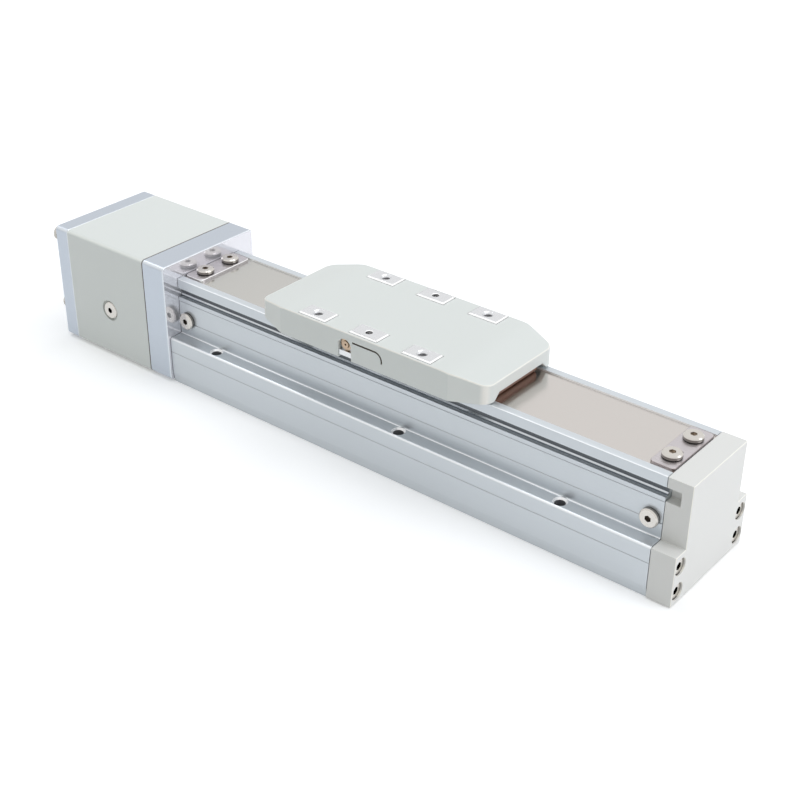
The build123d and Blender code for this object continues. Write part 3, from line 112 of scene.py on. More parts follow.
# Screws and plug: the pairs of lines that cross at them, and where their heads end
CLAMP_SCREW_ENDS = ("X", 0, 0.12035)
CLAMP_SCREW_SIDES = ("Y", 0, 0.0078)
CLAMP_SCREW_HEAD = 0.05245
SIDE_SCREW_ENDS = ("X", 0, 0.1207)
SIDE_SCREW_ROW = ("Z", 0.0305, 0)
SIDE_SCREW_HEAD = 0.02195
CAP_SIDES = ("Y", 0, 0.0228)
CAP_ROWS = ("Z", 0.0112, 0.0056)
CAP_SCREW_HEAD = 0.13555
TIE_SIDES = ("Y", 0, 0.0236)
TIE_ROWS = ("Z", 0.0344, 0.0176)
TIE_SCREW_HEAD = -0.20305
TIE_HEAD_MIDDLES = ((-0.20105, 0.0520), (-0.20045, 0.0168))
PLUG_PLACE = ("X", -0.16515, 0)
PLUG_ROW = ("Z", 0.0244, 0)
PLUG_HEAD = 0.02840

# Carriage
CARRIAGE_MIDDLE = -0.0116
PAD_TOP = 0.0622
TABLE_TAPS = ("X", CARRIAGE_MIDDLE, 0.02725)
TABLE_DOWELS = ("X", CARRIAGE_MIDDLE, 0)
TABLE_SIDES = ("Y", 0, 0.0218)
# Tapped bores get painted shade, and dowel bores painted light
TAP_CONE_RADIUS = 0.0028
TAP_BORE_RADIUS = 0.00175
TAP_BORE_TOP = 0.06130
DOWEL_BORE_RADIUS = 0.00155
DOWEL_BORE_TOP = 0.06195
# The wing's side behind the slit gets painted shade
WING_LOW = 0.02535
WING_HIGH = 0.02545
COVER_SIDE = -0.0265
SLIT_START = -0.0160
SLIT_END = -0.0007
SLIT_BOTTOM = 0.0535
SLIT_TOP = 0.0580
SLIT_RADIUS = 0.0036
SLIT_SHADE = 0.0004
SLIT_MARGIN = 0.001
BEHIND_SLIT_START = -0.0168
BEHIND_SLIT_END = 0.0002

# %% [markdown]
# ## Helpers
#
# One function turns a written colour into the linear values that Blender mixes, and one adds
# a shader or geometry node with its settings and links. A mask is a number that is 1 in one
# part of the surface and 0 elsewhere.


# %%
def colour(code):
    """A colour written as sRGB hex, as linear red, green, blue and alpha."""
    parts = [int(code[i : i + 2], 16) / 255 for i in (1, 3, 5)]
    linear = [p / 12.92 if p <= 0.04045 else ((p + 0.055) / 1.055) ** 2.4 for p in parts]
    return (*linear, 1.0)


def add(tree, kind, inputs=None, **settings):
    """Adds a node, sets its properties, and fills its sockets with values or links."""
    made = tree.nodes.new(kind)
    for name, value in settings.items():
        setattr(made, name, value)
    for socket, value in (inputs or {}).items():
        if isinstance(value, bpy.types.NodeSocket):
            tree.links.new(value, made.inputs[socket])
        else:
            made.inputs[socket].default_value = value
    return made


def calculate(tree, operation, *values):
    """One step of arithmetic on values or sockets."""
    made = add(tree, "ShaderNodeMath", dict(enumerate(values)), operation=operation)
    return made.outputs["Value"]


def every(tree, first, *others):
    """1 where all the masks are 1."""
    for mask in others:
        first = calculate(tree, "MULTIPLY", first, mask)
    return first


def largest(tree, first, *others):
    """The largest of some values, so 1 where any of some masks is 1."""
    for value in others:
        first = calculate(tree, "MAXIMUM", first, value)
    return first


def new_material(name, **values):
    """A material with one Principled shader, whose named sockets take the values."""
    material = bpy.data.materials.new(name)
    material.use_nodes = True
    shader = material.node_tree.nodes["Principled BSDF"]
    for socket, value in values.items():
        shader.inputs[socket.replace("_", " ")].default_value = value
    return material, material.node_tree, shader


def object_place(tree):
    """The object's own coordinates as one vector."""
    return add(tree, "ShaderNodeTexCoord").outputs["Object"]


def object_axes(tree):
    """The object's own coordinates as separate numbers."""
    return add(tree, "ShaderNodeSeparateXYZ", {"Vector": object_place(tree)}).outputs


def streaks(tree, stretch, scale):
    """A grey pattern drawn out along X, like the lines that drawing or rolling leaves."""
    mapped = add(
        tree,
        "ShaderNodeMapping",
        {"Vector": object_place(tree), "Scale": (scale / stretch, scale, scale)},
    )
    values = {"Vector": mapped.outputs["Vector"], "Scale": 1.0, "Detail": 3.0}
    return add(tree, "ShaderNodeTexNoise", values).outputs["Fac"]


def grains(tree, scale, detail=2.0):
    """An even grey noise over the object."""
    values = {"Vector": object_place(tree), "Scale": scale, "Detail": detail}
    return add(tree, "ShaderNodeTexNoise", values).outputs["Fac"]


def spread(tree, value, low, high):
    """Spreads the middle of a noise over a range of values."""
    ranged = add(
        tree,
        "ShaderNodeMapRange",
        {"Value": value, "From Min": 0.3, "From Max": 0.7, "To Min": low, "To Max": high},
    )
    return ranged.outputs["Result"]


def bumped(tree, shader, height, strength, distance):
    """Presses a grey pattern into the surface."""
    values = {"Height": height, "Strength": strength, "Distance": distance}
    bump = add(tree, "ShaderNodeBump", values)
    tree.links.new(bump.outputs["Normal"], shader.inputs["Normal"])


def near_lines(tree, axes, first, second, radius):
    """1 within a radius of the four places where two pairs of lines cross."""
    squares = []
    for axis, middle, offset in (first, second):
        moved = calculate(tree, "SUBTRACT", axes[axis], middle)
        off = calculate(tree, "SUBTRACT", calculate(tree, "ABSOLUTE", moved), offset)
        squares.append(calculate(tree, "MULTIPLY", off, off))
    return calculate(tree, "LESS_THAN", calculate(tree, "ADD", *squares), radius * radius)


def sides_of(pair):
    """The two places of a pair of lines, on their axis."""
    _, middle, offset = pair
    return (middle - offset, middle + offset)


def between(tree, value, low, high):
    """1 where a value lies between two others."""
    above = calculate(tree, "GREATER_THAN", value, low)
    return every(tree, above, calculate(tree, "LESS_THAN", value, high))


def slanted(tree):
    """0 on faces square to the axes, rising to 1 on bevels and fillets."""
    given = add(tree, "ShaderNodeNewGeometry").outputs["Normal"]
    normal = add(tree, "ShaderNodeSeparateXYZ", {"Vector": given}).outputs
    longest = largest(tree, *[calculate(tree, "ABSOLUTE", normal[axis]) for axis in "XYZ"])
    values = {"Value": longest, "From Min": 0.97, "From Max": 0.80}
    return add(tree, "ShaderNodeMapRange", values).outputs["Result"]


def switched(tree, mask, first, second):
    """One number where the mask is 0 and another where it is 1."""
    return add(tree, "ShaderNodeMix", {0: mask, 2: first, 3: second}, data_type="FLOAT").outputs[0]


def tinted(tree, shader, code, *layers):
    """Lays tones over a first one: each layer is (mask, code)."""
    tone = colour(code)
    for mask, over in layers:
        values = {0: mask, 6: tone, 7: colour(over)}
        tone = add(tree, "ShaderNodeMix", values, data_type="RGBA").outputs[2]
    tree.links.new(tone, shader.inputs["Base Color"])


def add_piece(name, mesh):
    """Puts a mesh into the scene as a piece."""
    piece = bpy.data.objects.new(name, mesh)
    bpy.context.collection.objects.link(piece)
    return piece


def solid_piece(name, vertices, faces, material):
    """A piece made of corners and faces, with its material."""
    mesh = bpy.data.meshes.new(name)
    mesh.from_pydata(vertices, [], faces)
    mesh.materials.append(material)
    mesh.update()
    return add_piece(name, mesh)


# %% [markdown]
# ## Materials
#
# Each is a real material and finish, and many also carry painted highlights on edges and painted
# shade in hollows, said at each. The aluminium extrusion is clear anodised, with faint lines from
# the die along its length. The box, the end cap and the carriage cover are a greenish cream. The
# strip is rolled stainless steel with a warm tone.

# %%
PROFILE_TONE = "#CFD4D8"
PLATE_TONE = "#BCC3CC"
# Tone of the painted highlight on the plates' edges
PLATE_EDGE_HIGHLIGHT = "#D6DBE0"
SCREW_TONE = "#D2CEC8"
STRIP_TONE = "#D0CBC7"
WHITE = "#FFFFFF"
PLATE_GLOSS = (0.30, 0.38)
SCREW_GLOSS = (0.16, 0.24)
SOCKET_RADIUS = 0.00176
# Depths below a head's top where the painted shade of its side and its painted contact shadow begin
HEAD_SIDE_DROP = 0.0006
HEAD_FOOT_DROP = 0.0016
LINE_RELIEF = 0.00004
GRAIN_RELIEF = 0.00003


def drawn(tree, shader, low, high, stretch, scale, strength):
    """Lines along X, whose direction shows in the gloss and a little in relief."""
    lines = streaks(tree, stretch, scale)
    tree.links.new(spread(tree, lines, low, high), shader.inputs["Roughness"])
    bumped(tree, shader, lines, strength, LINE_RELIEF)


def glossed(tree, shader, low, high, scale=700.0):
    """An even finish whose gloss varies a little."""
    tree.links.new(spread(tree, grains(tree, scale), low, high), shader.inputs["Roughness"])


def grained(tree, shader, scale, strength):
    """The fine even grain of paint, moulded plastic or rubber."""
    bumped(tree, shader, grains(tree, scale, 1.0), strength, GRAIN_RELIEF)


def plain_metal(name, code, low, high, edge=None):
    """Metal with an even finish, and a painted highlight on the edges where its tone is given."""
    material, tree, shader = new_material(name, Base_Color=colour(code), Metallic=1.0)
    if edge:
        # The edge tone is a painted highlight
        tinted(tree, shader, code, (slanted(tree), edge))
    glossed(tree, shader, low, high)
    return material


def clamp_metal(name, code, edge):
    """Brushed stainless sheet, with a painted tone on the edges: a highlight on one clamp, shade on
    the other.
    """
    material, tree, shader = new_material(name, Metallic=1.0)
    # The edge tone is painted light: lighter for a highlight, darker for shade
    tinted(tree, shader, code, (slanted(tree), edge))
    drawn(tree, shader, 0.26, 0.38, stretch=30.0, scale=2400.0, strength=0.06)
    return material


def grained_plastic(name, code, roughness, scale, strength):
    """Plastic or rubber of one tone with a fine even grain."""
    material, tree, shader = new_material(name, Base_Color=colour(code), Roughness=roughness)
    grained(tree, shader, scale, strength)
    return material


def profile_metal():
    """The extrusion: painted highlights on fillets, hole rims and lips, and painted shade in
    grooves, score lines and bores.
    """
    material, tree, shader = new_material("anodised_profile_grooved", Metallic=0.55)
    axes = object_axes(tree)
    out = calculate(tree, "ABSOLUTE", axes["Y"])

    def holes(radius):
        """1 within a radius of the mounting holes' middles."""
        rows = (MOUNTING_OUTER, MOUNTING_MIDDLE)
        near = [near_lines(tree, axes, row, MOUNTING_SIDES, radius) for row in rows]
        return largest(tree, *near)

    def zone(y_low, y_high, z_low, z_high):
        """1 in a zone of the section, all along the profile."""
        across = between(tree, out, y_low, y_high)
        return every(tree, across, between(tree, axes["Z"], z_low, z_high))

    edges = largest(tree, *[zone(*edge) for edge in PAINTED_HIGHLIGHT_ZONES])
    score_shade = largest(tree, *[zone(*line) for line in SCORE_LINES])
    rim_height = between(tree, axes["Z"], MOUNTING_RIM_FOOT, MOUNTING_RIM_TOP)
    bore_height = calculate(tree, "LESS_THAN", axes["Z"], MOUNTING_BORE_TOP)
    # Layers: painted shade in score lines, painted highlights on fillets, painted shade on the
    # groove's back wall and floor, painted light on lip walls, painted highlights on hole rims,
    # painted shade in the bores
    tinted(
        tree,
        shader,
        PROFILE_TONE,
        (score_shade, "#BABEC2"),
        (every(tree, slanted(tree), edges), "#F6F8FA"),
        (zone(*GROOVE_BACK_SHADE), "#5C6064"),
        (zone(*GROOVE_BOTTOM_SHADE), "#C6CACE"),
        (zone(*LIP_WALL_LIGHT), WHITE),
        (every(tree, holes(MOUNTING_RIM_RADIUS), rim_height), WHITE),
        (every(tree, holes(MOUNTING_BORE_RADIUS), bore_height), "#A0A0A4"),
    )
    drawn(tree, shader, 0.28, 0.38, stretch=60.0, scale=900.0, strength=0.05)
    return material


def ridge_metal():
    """The ridge in the sensor groove: a paler bevel over an upright side darkened with painted
    shade.
    """
    material, tree, shader = new_material("anodised_profile_ridge", Metallic=1.0, Roughness=0.22)
    # Painted shade on the upright side, and a paler bevel
    tinted(tree, shader, "#868C92", (slanted(tree), "#CED2D6"))
    return material


def strip_metal():
    """Rolled stainless strip, with painted shade that darkens it a little towards the drive end."""
    material, tree, shader = new_material("strip_steel", Metallic=1.0)
    values = {"Value": object_axes(tree)["X"], "From Min": 0.0, "From Max": -0.11}
    along = add(tree, "ShaderNodeMapRange", values).outputs["Result"]
    # Painted shade, deepening towards the drive end
    tinted(tree, shader, STRIP_TONE, (along, "#C0BFBB"))
    drawn(tree, shader, 0.16, 0.22, stretch=120.0, scale=1400.0, strength=0.03)
    return material


def box_paint():
    """The box's powder coat, with painted highlights on its edges and painted shade in the joint to
    the front plate.
    """
    material, tree, shader = new_material("cream_paint_box", Roughness=0.45)
    along = object_axes(tree)["X"]
    joint = calculate(tree, "GREATER_THAN", along, BOX_JOINT - BOX_JOINT_WIDTH)
    # Painted highlights on the edges, and painted shade in the joint
    tinted(tree, shader, "#DEE1DD", (slanted(tree), "#EEF0EA"), (joint, "#7E7872"))
    grained(tree, shader, 1600.0, 0.25)
    return material


def cap_paint():
    """The end cap's coat, more neutral than the box's, with painted highlights on its edges,
    painted shade on the counterbores' walls and a painted shadow below each screw.
    """
    material, tree, shader = new_material("cream_paint_end_cap", Roughness=0.45)
    axes = object_axes(tree)
    inner = calculate(tree, "LESS_THAN", calculate(tree, "ABSOLUTE", axes["Y"]), CAP_SIDE)
    sunk = every(tree, calculate(tree, "LESS_THAN", axes["X"], CAP_END), inner)
    counterbore_shade = near_lines(tree, axes, CAP_SIDES, CAP_ROWS, CAP_BORE_RADIUS)
    shadow_spots = near_lines(tree, axes, CAP_SIDES, CAP_SHADOW_ROWS, CAP_SHADOW_RADIUS)
    # Painted highlights on the edges, painted shade on the counterbores' walls, painted shadow
    # below the screws
    tinted(
        tree,
        shader,
        "#E1E0DC",
        (slanted(tree), "#FFFBF0"),
        (every(tree, counterbore_shade, sunk), "#B4AEAA"),
        (every(tree, shadow_spots, sunk), "#242220"),
    )
    grained(tree, shader, 1600.0, 0.25)
    return material


def front_plate_metal():
    """Clear anodised plate whose face towards the carriage is polished like a mirror, with painted
    highlights on its edges.
    """
    material, tree, shader = new_material("anodised_plate_polished_face")
    on_face = calculate(tree, "GREATER_THAN", object_axes(tree)["X"], POLISHED_FACE)
    # Painted highlights on the edges
    tinted(tree, shader, PLATE_TONE, (slanted(tree), PLATE_EDGE_HIGHLIGHT), (on_face, "#EAE9EE"))
    rough = spread(tree, grains(tree, 900.0), *PLATE_GLOSS)
    tree.links.new(switched(tree, on_face, rough, 0.10), shader.inputs["Roughness"])
    tree.links.new(switched(tree, on_face, 1.0, 0.62), shader.inputs["Metallic"])
    return material


def socket_metal(name, first, second, heads, socket="#6A645E"):
    """Bright plated screws with painted shade in the sockets and on the heads' sides, and a painted
    contact shadow at each head's foot.

    The screws stand where two pairs of lines cross. Their heads are (axis, direction, top),
    with 0 for a direction where heads look both ways.
    """
    material, tree, shader = new_material(name, Metallic=1.0)
    axes = object_axes(tree)
    axis, direction, top = heads
    if direction == 0:
        outward = calculate(tree, "ABSOLUTE", axes[axis])
    else:
        outward = calculate(tree, "MULTIPLY", axes[axis], direction)
        top = direction * top
    height = calculate(tree, "SUBTRACT", outward, top)
    drops = (0.0, HEAD_SIDE_DROP, HEAD_FOOT_DROP)
    below, sides, foot = [calculate(tree, "LESS_THAN", height, -drop) for drop in drops]
    socket_shade = every(tree, near_lines(tree, axes, first, second, SOCKET_RADIUS), below)
    # Painted shade on the heads' sides and in the sockets, and a painted contact shadow at the foot
    tinted(tree, shader, SCREW_TONE, (sides, "#8E8A85"), (foot, "#1E1C1B"), (socket_shade, socket))
    glossed(tree, shader, *SCREW_GLOSS)
    return material


def cover_plastic():
    """Moulded cover, with painted highlights along its rounded edges and painted shade beside the
    slit in its near side.
    """
    material, tree, shader = new_material("cream_plastic_cover", Roughness=0.38)
    axes = object_axes(tree)
    squares = []
    for axis, end in (("X", SLIT_END), ("Z", SLIT_TOP)):
        past = calculate(tree, "SUBTRACT", axes[axis], end - SLIT_RADIUS)
        past = calculate(tree, "MAXIMUM", past, 0.0)
        squares.append(calculate(tree, "MULTIPLY", past, past))
    reach = calculate(tree, "SQRT", calculate(tree, "ADD", *squares))
    slit = every(
        tree,
        calculate(tree, "COMPARE", reach, SLIT_RADIUS, SLIT_SHADE),
        between(tree, axes["X"], SLIT_START, SLIT_END + SLIT_MARGIN),
        between(tree, axes["Z"], SLIT_BOTTOM, SLIT_TOP + SLIT_MARGIN),
        calculate(tree, "LESS_THAN", axes["Y"], COVER_SIDE),
    )
    # Painted highlights on the edges, and painted shade beside the slit
    tinted(tree, shader, "#DBDEDA", (slanted(tree), "#F2EFE7"), (slit, "#6A6258"))
    grained(tree, shader, 2200.0, 0.12)
    return material


def pad_metal():
    """Milled aluminium with painted highlights on the pads' bevels and in the dowel bores, and
    painted shade in the tapped holes and behind the slit.
    """
    material, tree, shader = new_material("milled_pads", Metallic=1.0)
    axes = object_axes(tree)
    taps = near_lines(tree, axes, TABLE_TAPS, TABLE_SIDES, TAP_BORE_RADIUS)
    tapped = every(tree, taps, calculate(tree, "LESS_THAN", axes["Z"], TAP_BORE_TOP))
    dowels = near_lines(tree, axes, TABLE_DOWELS, TABLE_SIDES, DOWEL_BORE_RADIUS)
    reamed = every(tree, dowels, calculate(tree, "LESS_THAN", axes["Z"], DOWEL_BORE_TOP))
    cones = near_lines(tree, axes, TABLE_TAPS, TABLE_SIDES, TAP_CONE_RADIUS)
    bevels = every(tree, slanted(tree), calculate(tree, "SUBTRACT", 1.0, cones))
    wing = between(tree, calculate(tree, "ABSOLUTE", axes["Y"]), WING_LOW, WING_HIGH)
    slit_length = between(tree, axes["X"], BEHIND_SLIT_START, BEHIND_SLIT_END)
    # Painted highlights on the bevels and dowel bores, painted shade behind the slit and in the
    # tapped holes
    tinted(
        tree,
        shader,
        "#DCDDDF",
        (bevels, WHITE),
        (every(tree, wing, slit_length), "#2A2826"),
        (tapped, "#A2A2A4"),
        (reamed, WHITE),
    )
    glossed(tree, shader, 0.20, 0.30, scale=800.0)
    return material


materials = {
    # Clear anodised plate, cooler than the extrusion, with painted highlights on its edges
    "anodised_plate": plain_metal(
        "anodised_plate", PLATE_TONE, *PLATE_GLOSS, edge=PLATE_EDGE_HIGHLIGHT
    ),
    # Machined aluminium of the bearing blocks and the coupling
    "machined_aluminium": plain_metal("machined_aluminium", "#D8DADC", 0.20, 0.30),
    # Rolled stainless strip
    "strip_steel": strip_metal(),
    # Stainless sheet of the strip clamps, brushed, with painted highlights on its edges
    "clamp_steel": clamp_metal("clamp_steel", "#C6C2C4", "#F4F4F4"),
    # Nickel plated screws
    "screw_steel": plain_metal("screw_steel", SCREW_TONE, *SCREW_GLOSS),
    # Hardened and ground steel of the screw, rail and bearings
    "ground_steel": plain_metal("ground_steel", "#C8CACE", 0.10, 0.18),
    # Black oxide on steel
    "blackened_steel": plain_metal("blackened_steel", "#2A2A2C", 0.35, 0.45),
    # Turned brass of the grease nipple
    "nipple_brass": plain_metal("nipple_brass", "#B8A28C", 0.22, 0.30),
    # Black rubber of the bumpers
    "black_rubber": grained_plastic("black_rubber", "#1B1B1B", 0.7, 1500.0, 0.3),
    # Cast polyurethane of the coupling's spider
    "red_urethane": grained_plastic("red_urethane", "#A8231C", 0.35, 900.0, 0.1),
    # Black acetal of the nut's wiper and the guide blocks' ends
    "black_plastic": grained_plastic("black_plastic", "#1C1C1E", 0.5, 1500.0, 0.2),
    # Plastic bonded magnet
    "magnet_strip": grained_plastic("magnet_strip", "#3A3734", 0.6, 1200.0, 0.2),
}
# Metal inside the tapped holes, painted dark as the shade in them
bore_shade_metal = plain_metal("tapped_bores", "#8A8A8C", 0.30, 0.40)

# Pieces whose finish changes over their surface, or differs from the rest of their slot
own_materials = {
    # Clear anodised extrusion, satin
    "base_profile": profile_metal(),
    # Satin powder coat
    "coupling_housing": box_paint(),
    "end_cap": cap_paint(),
    # Fine matt moulding
    "carriage_cover": cover_plastic(),
    # Brushed like the other clamp, with painted shade on its edges
    "strip_clamp_far_end": clamp_metal("clamp_steel_shaded_edges", "#C2BDBF", "#8A807E"),
    # Press shoes of brown phenolic
    "strip_press_shoes": grained_plastic("brown_phenolic", "#7A5848", 0.4, 1500.0, 0.1),
    # Clear anodised plate, polished on one face
    "front_plate": front_plate_metal(),
    # Milled aluminium
    "carriage_block": pad_metal(),
    # Nickel plated screws and plug with hexagon sockets
    "strip_clamp_screws": socket_metal(
        "clamp_screw_heads",
        CLAMP_SCREW_ENDS,
        CLAMP_SCREW_SIDES,
        ("Z", 1, CLAMP_SCREW_HEAD),
        socket="#B0A89E",
    ),
    "housing_side_screws": socket_metal(
        "side_screw_heads", SIDE_SCREW_ENDS, SIDE_SCREW_ROW, ("Y", 0, SIDE_SCREW_HEAD)
    ),
    "end_cap_screws": socket_metal(
        "end_cap_screw_heads", CAP_SIDES, CAP_ROWS, ("X", 1, CAP_SCREW_HEAD)
    ),
    "tie_screws": socket_metal(
        "tie_screw_heads", TIE_SIDES, TIE_ROWS, ("X", -1, TIE_SCREW_HEAD)
    ),
    "access_plug": socket_metal("plug_head", PLUG_PLACE, PLUG_ROW, ("Y", 0, PLUG_HEAD)),
}

for entry in frame["record"]["subparts"]:
    name = entry["node"]
    if name in nodes:
        chosen = own_materials.get(name) or materials[entry["material_slot"]]
        for slot in nodes[name].material_slots:
            slot.material = chosen

# %% [markdown]
# ## Softened edges
#
# Every real edge is broken a little and catches a thin light. The plates, the box, the end
# cap, the strip's clamps and the carriage get a narrow bevel. The base profile gets none: its
# solid has fillets of its own. A small node tree goes before and after the bevel: it joins
# the corners of the solids' triangles and marks the sharp edges. Then the large faces decide
# how the corners shade, so that flat faces look flat.

# %%
JOINED_WITHIN = 0.000002
SHARP_FROM = radians(20)
BEVELLED_FROM = radians(40)


def new_tree(name, inputs):
    """A geometry node tree with named inputs, its input node, and one geometry output."""
    tree = bpy.data.node_groups.new(name, "GeometryNodeTree")
    sockets = tree.interface
    sockets.new_socket("Geometry", in_out="INPUT", socket_type="NodeSocketGeometry")
    for socket, kind in inputs.items():
        sockets.new_socket(socket, in_out="INPUT", socket_type="NodeSocket" + kind)
    sockets.new_socket("Geometry", in_out="OUTPUT", socket_type="NodeSocketGeometry")
    return tree, add(tree, "NodeGroupInput").outputs


def plain_normals_tree():
    """Joins doubled corners and marks the edges that are folded, open or shared by many faces."""
    tree, given = new_tree("plain normals", {})
    joined = add(
        tree,
        "GeometryNodeMergeByDistance",
        {"Geometry": given["Geometry"], "Distance": JOINED_WITHIN},
    )
    angle = add(tree, "GeometryNodeInputMeshEdgeAngle").outputs["Unsigned Angle"]
    folded = calculate(tree, "GREATER_THAN", angle, SHARP_FROM)
    faces = add(tree, "GeometryNodeInputMeshEdgeNeighbors").outputs["Face Count"]
    uneven = calculate(tree, "SUBTRACT", 1.0, calculate(tree, "COMPARE", faces, 2.0, 0.5))
    marked = add(
        tree,
        "GeometryNodeSetMeshNormal",
        {
            "Mesh": joined.outputs["Geometry"],
            "Remove Custom": True,
            "Edge Sharpness": largest(tree, folded, uneven),
            "Face Sharpness": False,
        },
        mode="SHARPNESS",
    )
    add(tree, "NodeGroupOutput", {"Geometry": marked.outputs["Mesh"]})
    return tree


EDGE_WIDTHS = {
    "front_plate": 0.0002,
    "rear_plate": 0.0002,
    "coupling_housing": 0.0003,
    "end_cap": 0.0003,
    "carriage_cover": 0.00015,
    "carriage_block": 0.00012,
    "strip_clamp_drive_end": 0.0001,
    "strip_clamp_far_end": 0.0001,
}

plain_normals = plain_normals_tree()
for name, width in EDGE_WIDTHS.items():
    piece = nodes[name]
    piece.modifiers.new("joined corners", "NODES").node_group = plain_normals
    bevel = piece.modifiers.new("broken edges", "BEVEL")
    bevel.width = width
    bevel.segments = 2
    bevel.limit_method = "ANGLE"
    bevel.angle_limit = BEVELLED_FROM
    bevel.use_clamp_overlap = True
    piece.modifiers.new("sharp edges", "NODES").node_group = plain_normals
    weighted = piece.modifiers.new("large faces lead", "WEIGHTED_NORMAL")
    weighted.mode = "FACE_AREA"
    weighted.weight = 100
    weighted.keep_sharp = True

# %% [markdown]
# ## Threads and knurling
#
# The tapped holes get a helical thread inside their bore, and the heads of the long screws on
# the rear plate get the fine ridges of a cap screw.


# %%
def repeat_on_points(tree, given, shape):
    """Puts the shape on every point, as real geometry with its material."""
    placed = add(
        tree,
        "GeometryNodeInstanceOnPoints",
        {"Points": given["Geometry"], "Instance": shape, "Rotation": given["Direction"]},
    )
    real = add(tree, "GeometryNodeRealizeInstances", {"Geometry": placed.outputs["Instances"]})
    faceted = add(
        tree,
        "GeometryNodeSetShadeSmooth",
        {"Geometry": real.outputs["Geometry"], "Shade Smooth": False},
    )
    coated = add(
        tree,
        "GeometryNodeSetMaterial",
        {"Geometry": faceted.outputs["Geometry"], "Material": given["Material"]},
    )
    add(tree, "NodeGroupOutput", {"Geometry": coated.outputs["Geometry"]})


def thread_tree():
    """A helical ridge down from every point of the mesh."""
    sizes = dict.fromkeys(("Radius", "Depth", "Pitch", "Ridge"), "Float")
    tree, given = new_tree("thread", {**sizes, "Direction": "Rotation", "Material": "Material"})
    helix = add(
        tree,
        "GeometryNodeCurveSpiral",
        {
            "Resolution": 20,
            "Rotations": calculate(tree, "DIVIDE", given["Depth"], given["Pitch"]),
            "Start Radius": given["Radius"],
            "End Radius": given["Radius"],
            "Height": given["Depth"],
        },
    )
    steady = add(
        tree, "GeometryNodeSetCurveNormal", {"Curve": helix.outputs["Curve"]}, mode="Z_UP"
    )
    section = add(
        tree, "GeometryNodeCurvePrimitiveCircle", {"Resolution": 4, "Radius": given["Ridge"]}
    )
    ridge = add(
        tree,
        "GeometryNodeCurveToMesh",
        {
            "Curve": steady.outputs["Curve"],
            "Profile Curve": section.outputs["Curve"],
            "Fill Caps": True,
        },
    )
    drop = calculate(tree, "MULTIPLY", given["Depth"], -1.0)
    down = add(tree, "ShaderNodeCombineXYZ", {"Z": drop})
    sunk = add(
        tree,
        "GeometryNodeTransform",
        {"Geometry": ridge.outputs["Mesh"], "Translation": down.outputs["Vector"]},
    )
    repeat_on_points(tree, given, sunk.outputs["Geometry"])
    return tree


def knurl_tree():
    """A ring of upright ridges round every point of the mesh."""
    sizes = {"Count": "Int", **dict.fromkeys(("Radius", "Length", "Ridge"), "Float")}
    tree, given = new_tree("knurl", {**sizes, "Direction": "Rotation", "Material": "Material"})
    ring = add(
        tree, "GeometryNodeMeshCircle", {"Vertices": given["Count"], "Radius": given["Radius"]}
    )
    ridge = add(
        tree,
        "GeometryNodeMeshCylinder",
        {"Vertices": 6, "Radius": given["Ridge"], "Depth": given["Length"]},
    )
    round_head = add(
        tree,
        "GeometryNodeInstanceOnPoints",
        {"Points": ring.outputs["Mesh"], "Instance": ridge.outputs["Mesh"]},
    )
    repeat_on_points(tree, given, round_head.outputs["Instances"])
    return tree


def grow(name, tree, points, slot, body, **values):
    """Runs a tree on a few points and keeps the result as a plain mesh that rides with a body."""
    mesh = bpy.data.meshes.new(name)
    mesh.from_pydata(points, [], [])
    piece = add_piece(name, mesh)
    modifier = piece.modifiers.new(name, "NODES")
    modifier.node_group = tree
    for item in tree.interface.items_tree:
        if item.in_out == "INPUT" and item.name in values:
            modifier[item.identifier] = values[item.name]
    ready = piece.evaluated_get(bpy.context.evaluated_depsgraph_get())
    piece.data = bpy.data.meshes.new_from_object(ready)
    piece.modifiers.clear()
    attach(piece, body)


UPWARD = (0.0, 0.0, 0.0)
REARWARD = (0.0, -pi / 2, 0.0)
TABLE_THREAD_SINK = 0.0010
MOTOR_THREAD_SINK = 0.0003
M4_THREAD = {
    "Radius": 0.00170,
    "Depth": 0.0055,
    "Pitch": 0.0007,
    "Ridge": 0.00028,
    "Material": bore_shade_metal,
}

thread = thread_tree()
table_places = [
    (x, y, PAD_TOP - TABLE_THREAD_SINK) for x in sides_of(TABLE_TAPS) for y in sides_of(TABLE_SIDES)
]
grow(
    "table_threads",
    thread,
    table_places,
    "machined_aluminium",
    "carriage",
    Direction=UPWARD,
    **M4_THREAD,
)
motor_offset = MOTOR_CIRCLE_RADIUS * cos(radians(45))
motor_places = [
    (REAR_FACE + MOTOR_THREAD_SINK, a * motor_offset, SCREW_LINE + b * motor_offset)
    for a in (-1, 1)
    for b in (-1, 1)
]
grow(
    "motor_threads",
    thread,
    motor_places,
    "anodised_plate",
    "stage_base",
    Direction=REARWARD,
    **M4_THREAD,
)
grow(
    "tie_screw_knurling",
    knurl_tree(),
    [(x, y, z) for x, z in TIE_HEAD_MIDDLES for y in sides_of(TIE_SIDES)],
    "screw_steel",
    "stage_base",
    Count=48,
    Radius=0.00344,
    Length=0.0026,
    Ridge=0.00018,
    Direction=REARWARD,
    Material=materials["screw_steel"],
)

# %% [markdown]
# ## Groove ridges
#
# Each sensor groove has a small bevelled ridge along the foot of its back wall.

# %%
RIDGE_DEPTH = 0.00055
RIDGE_HEIGHT = 0.00125


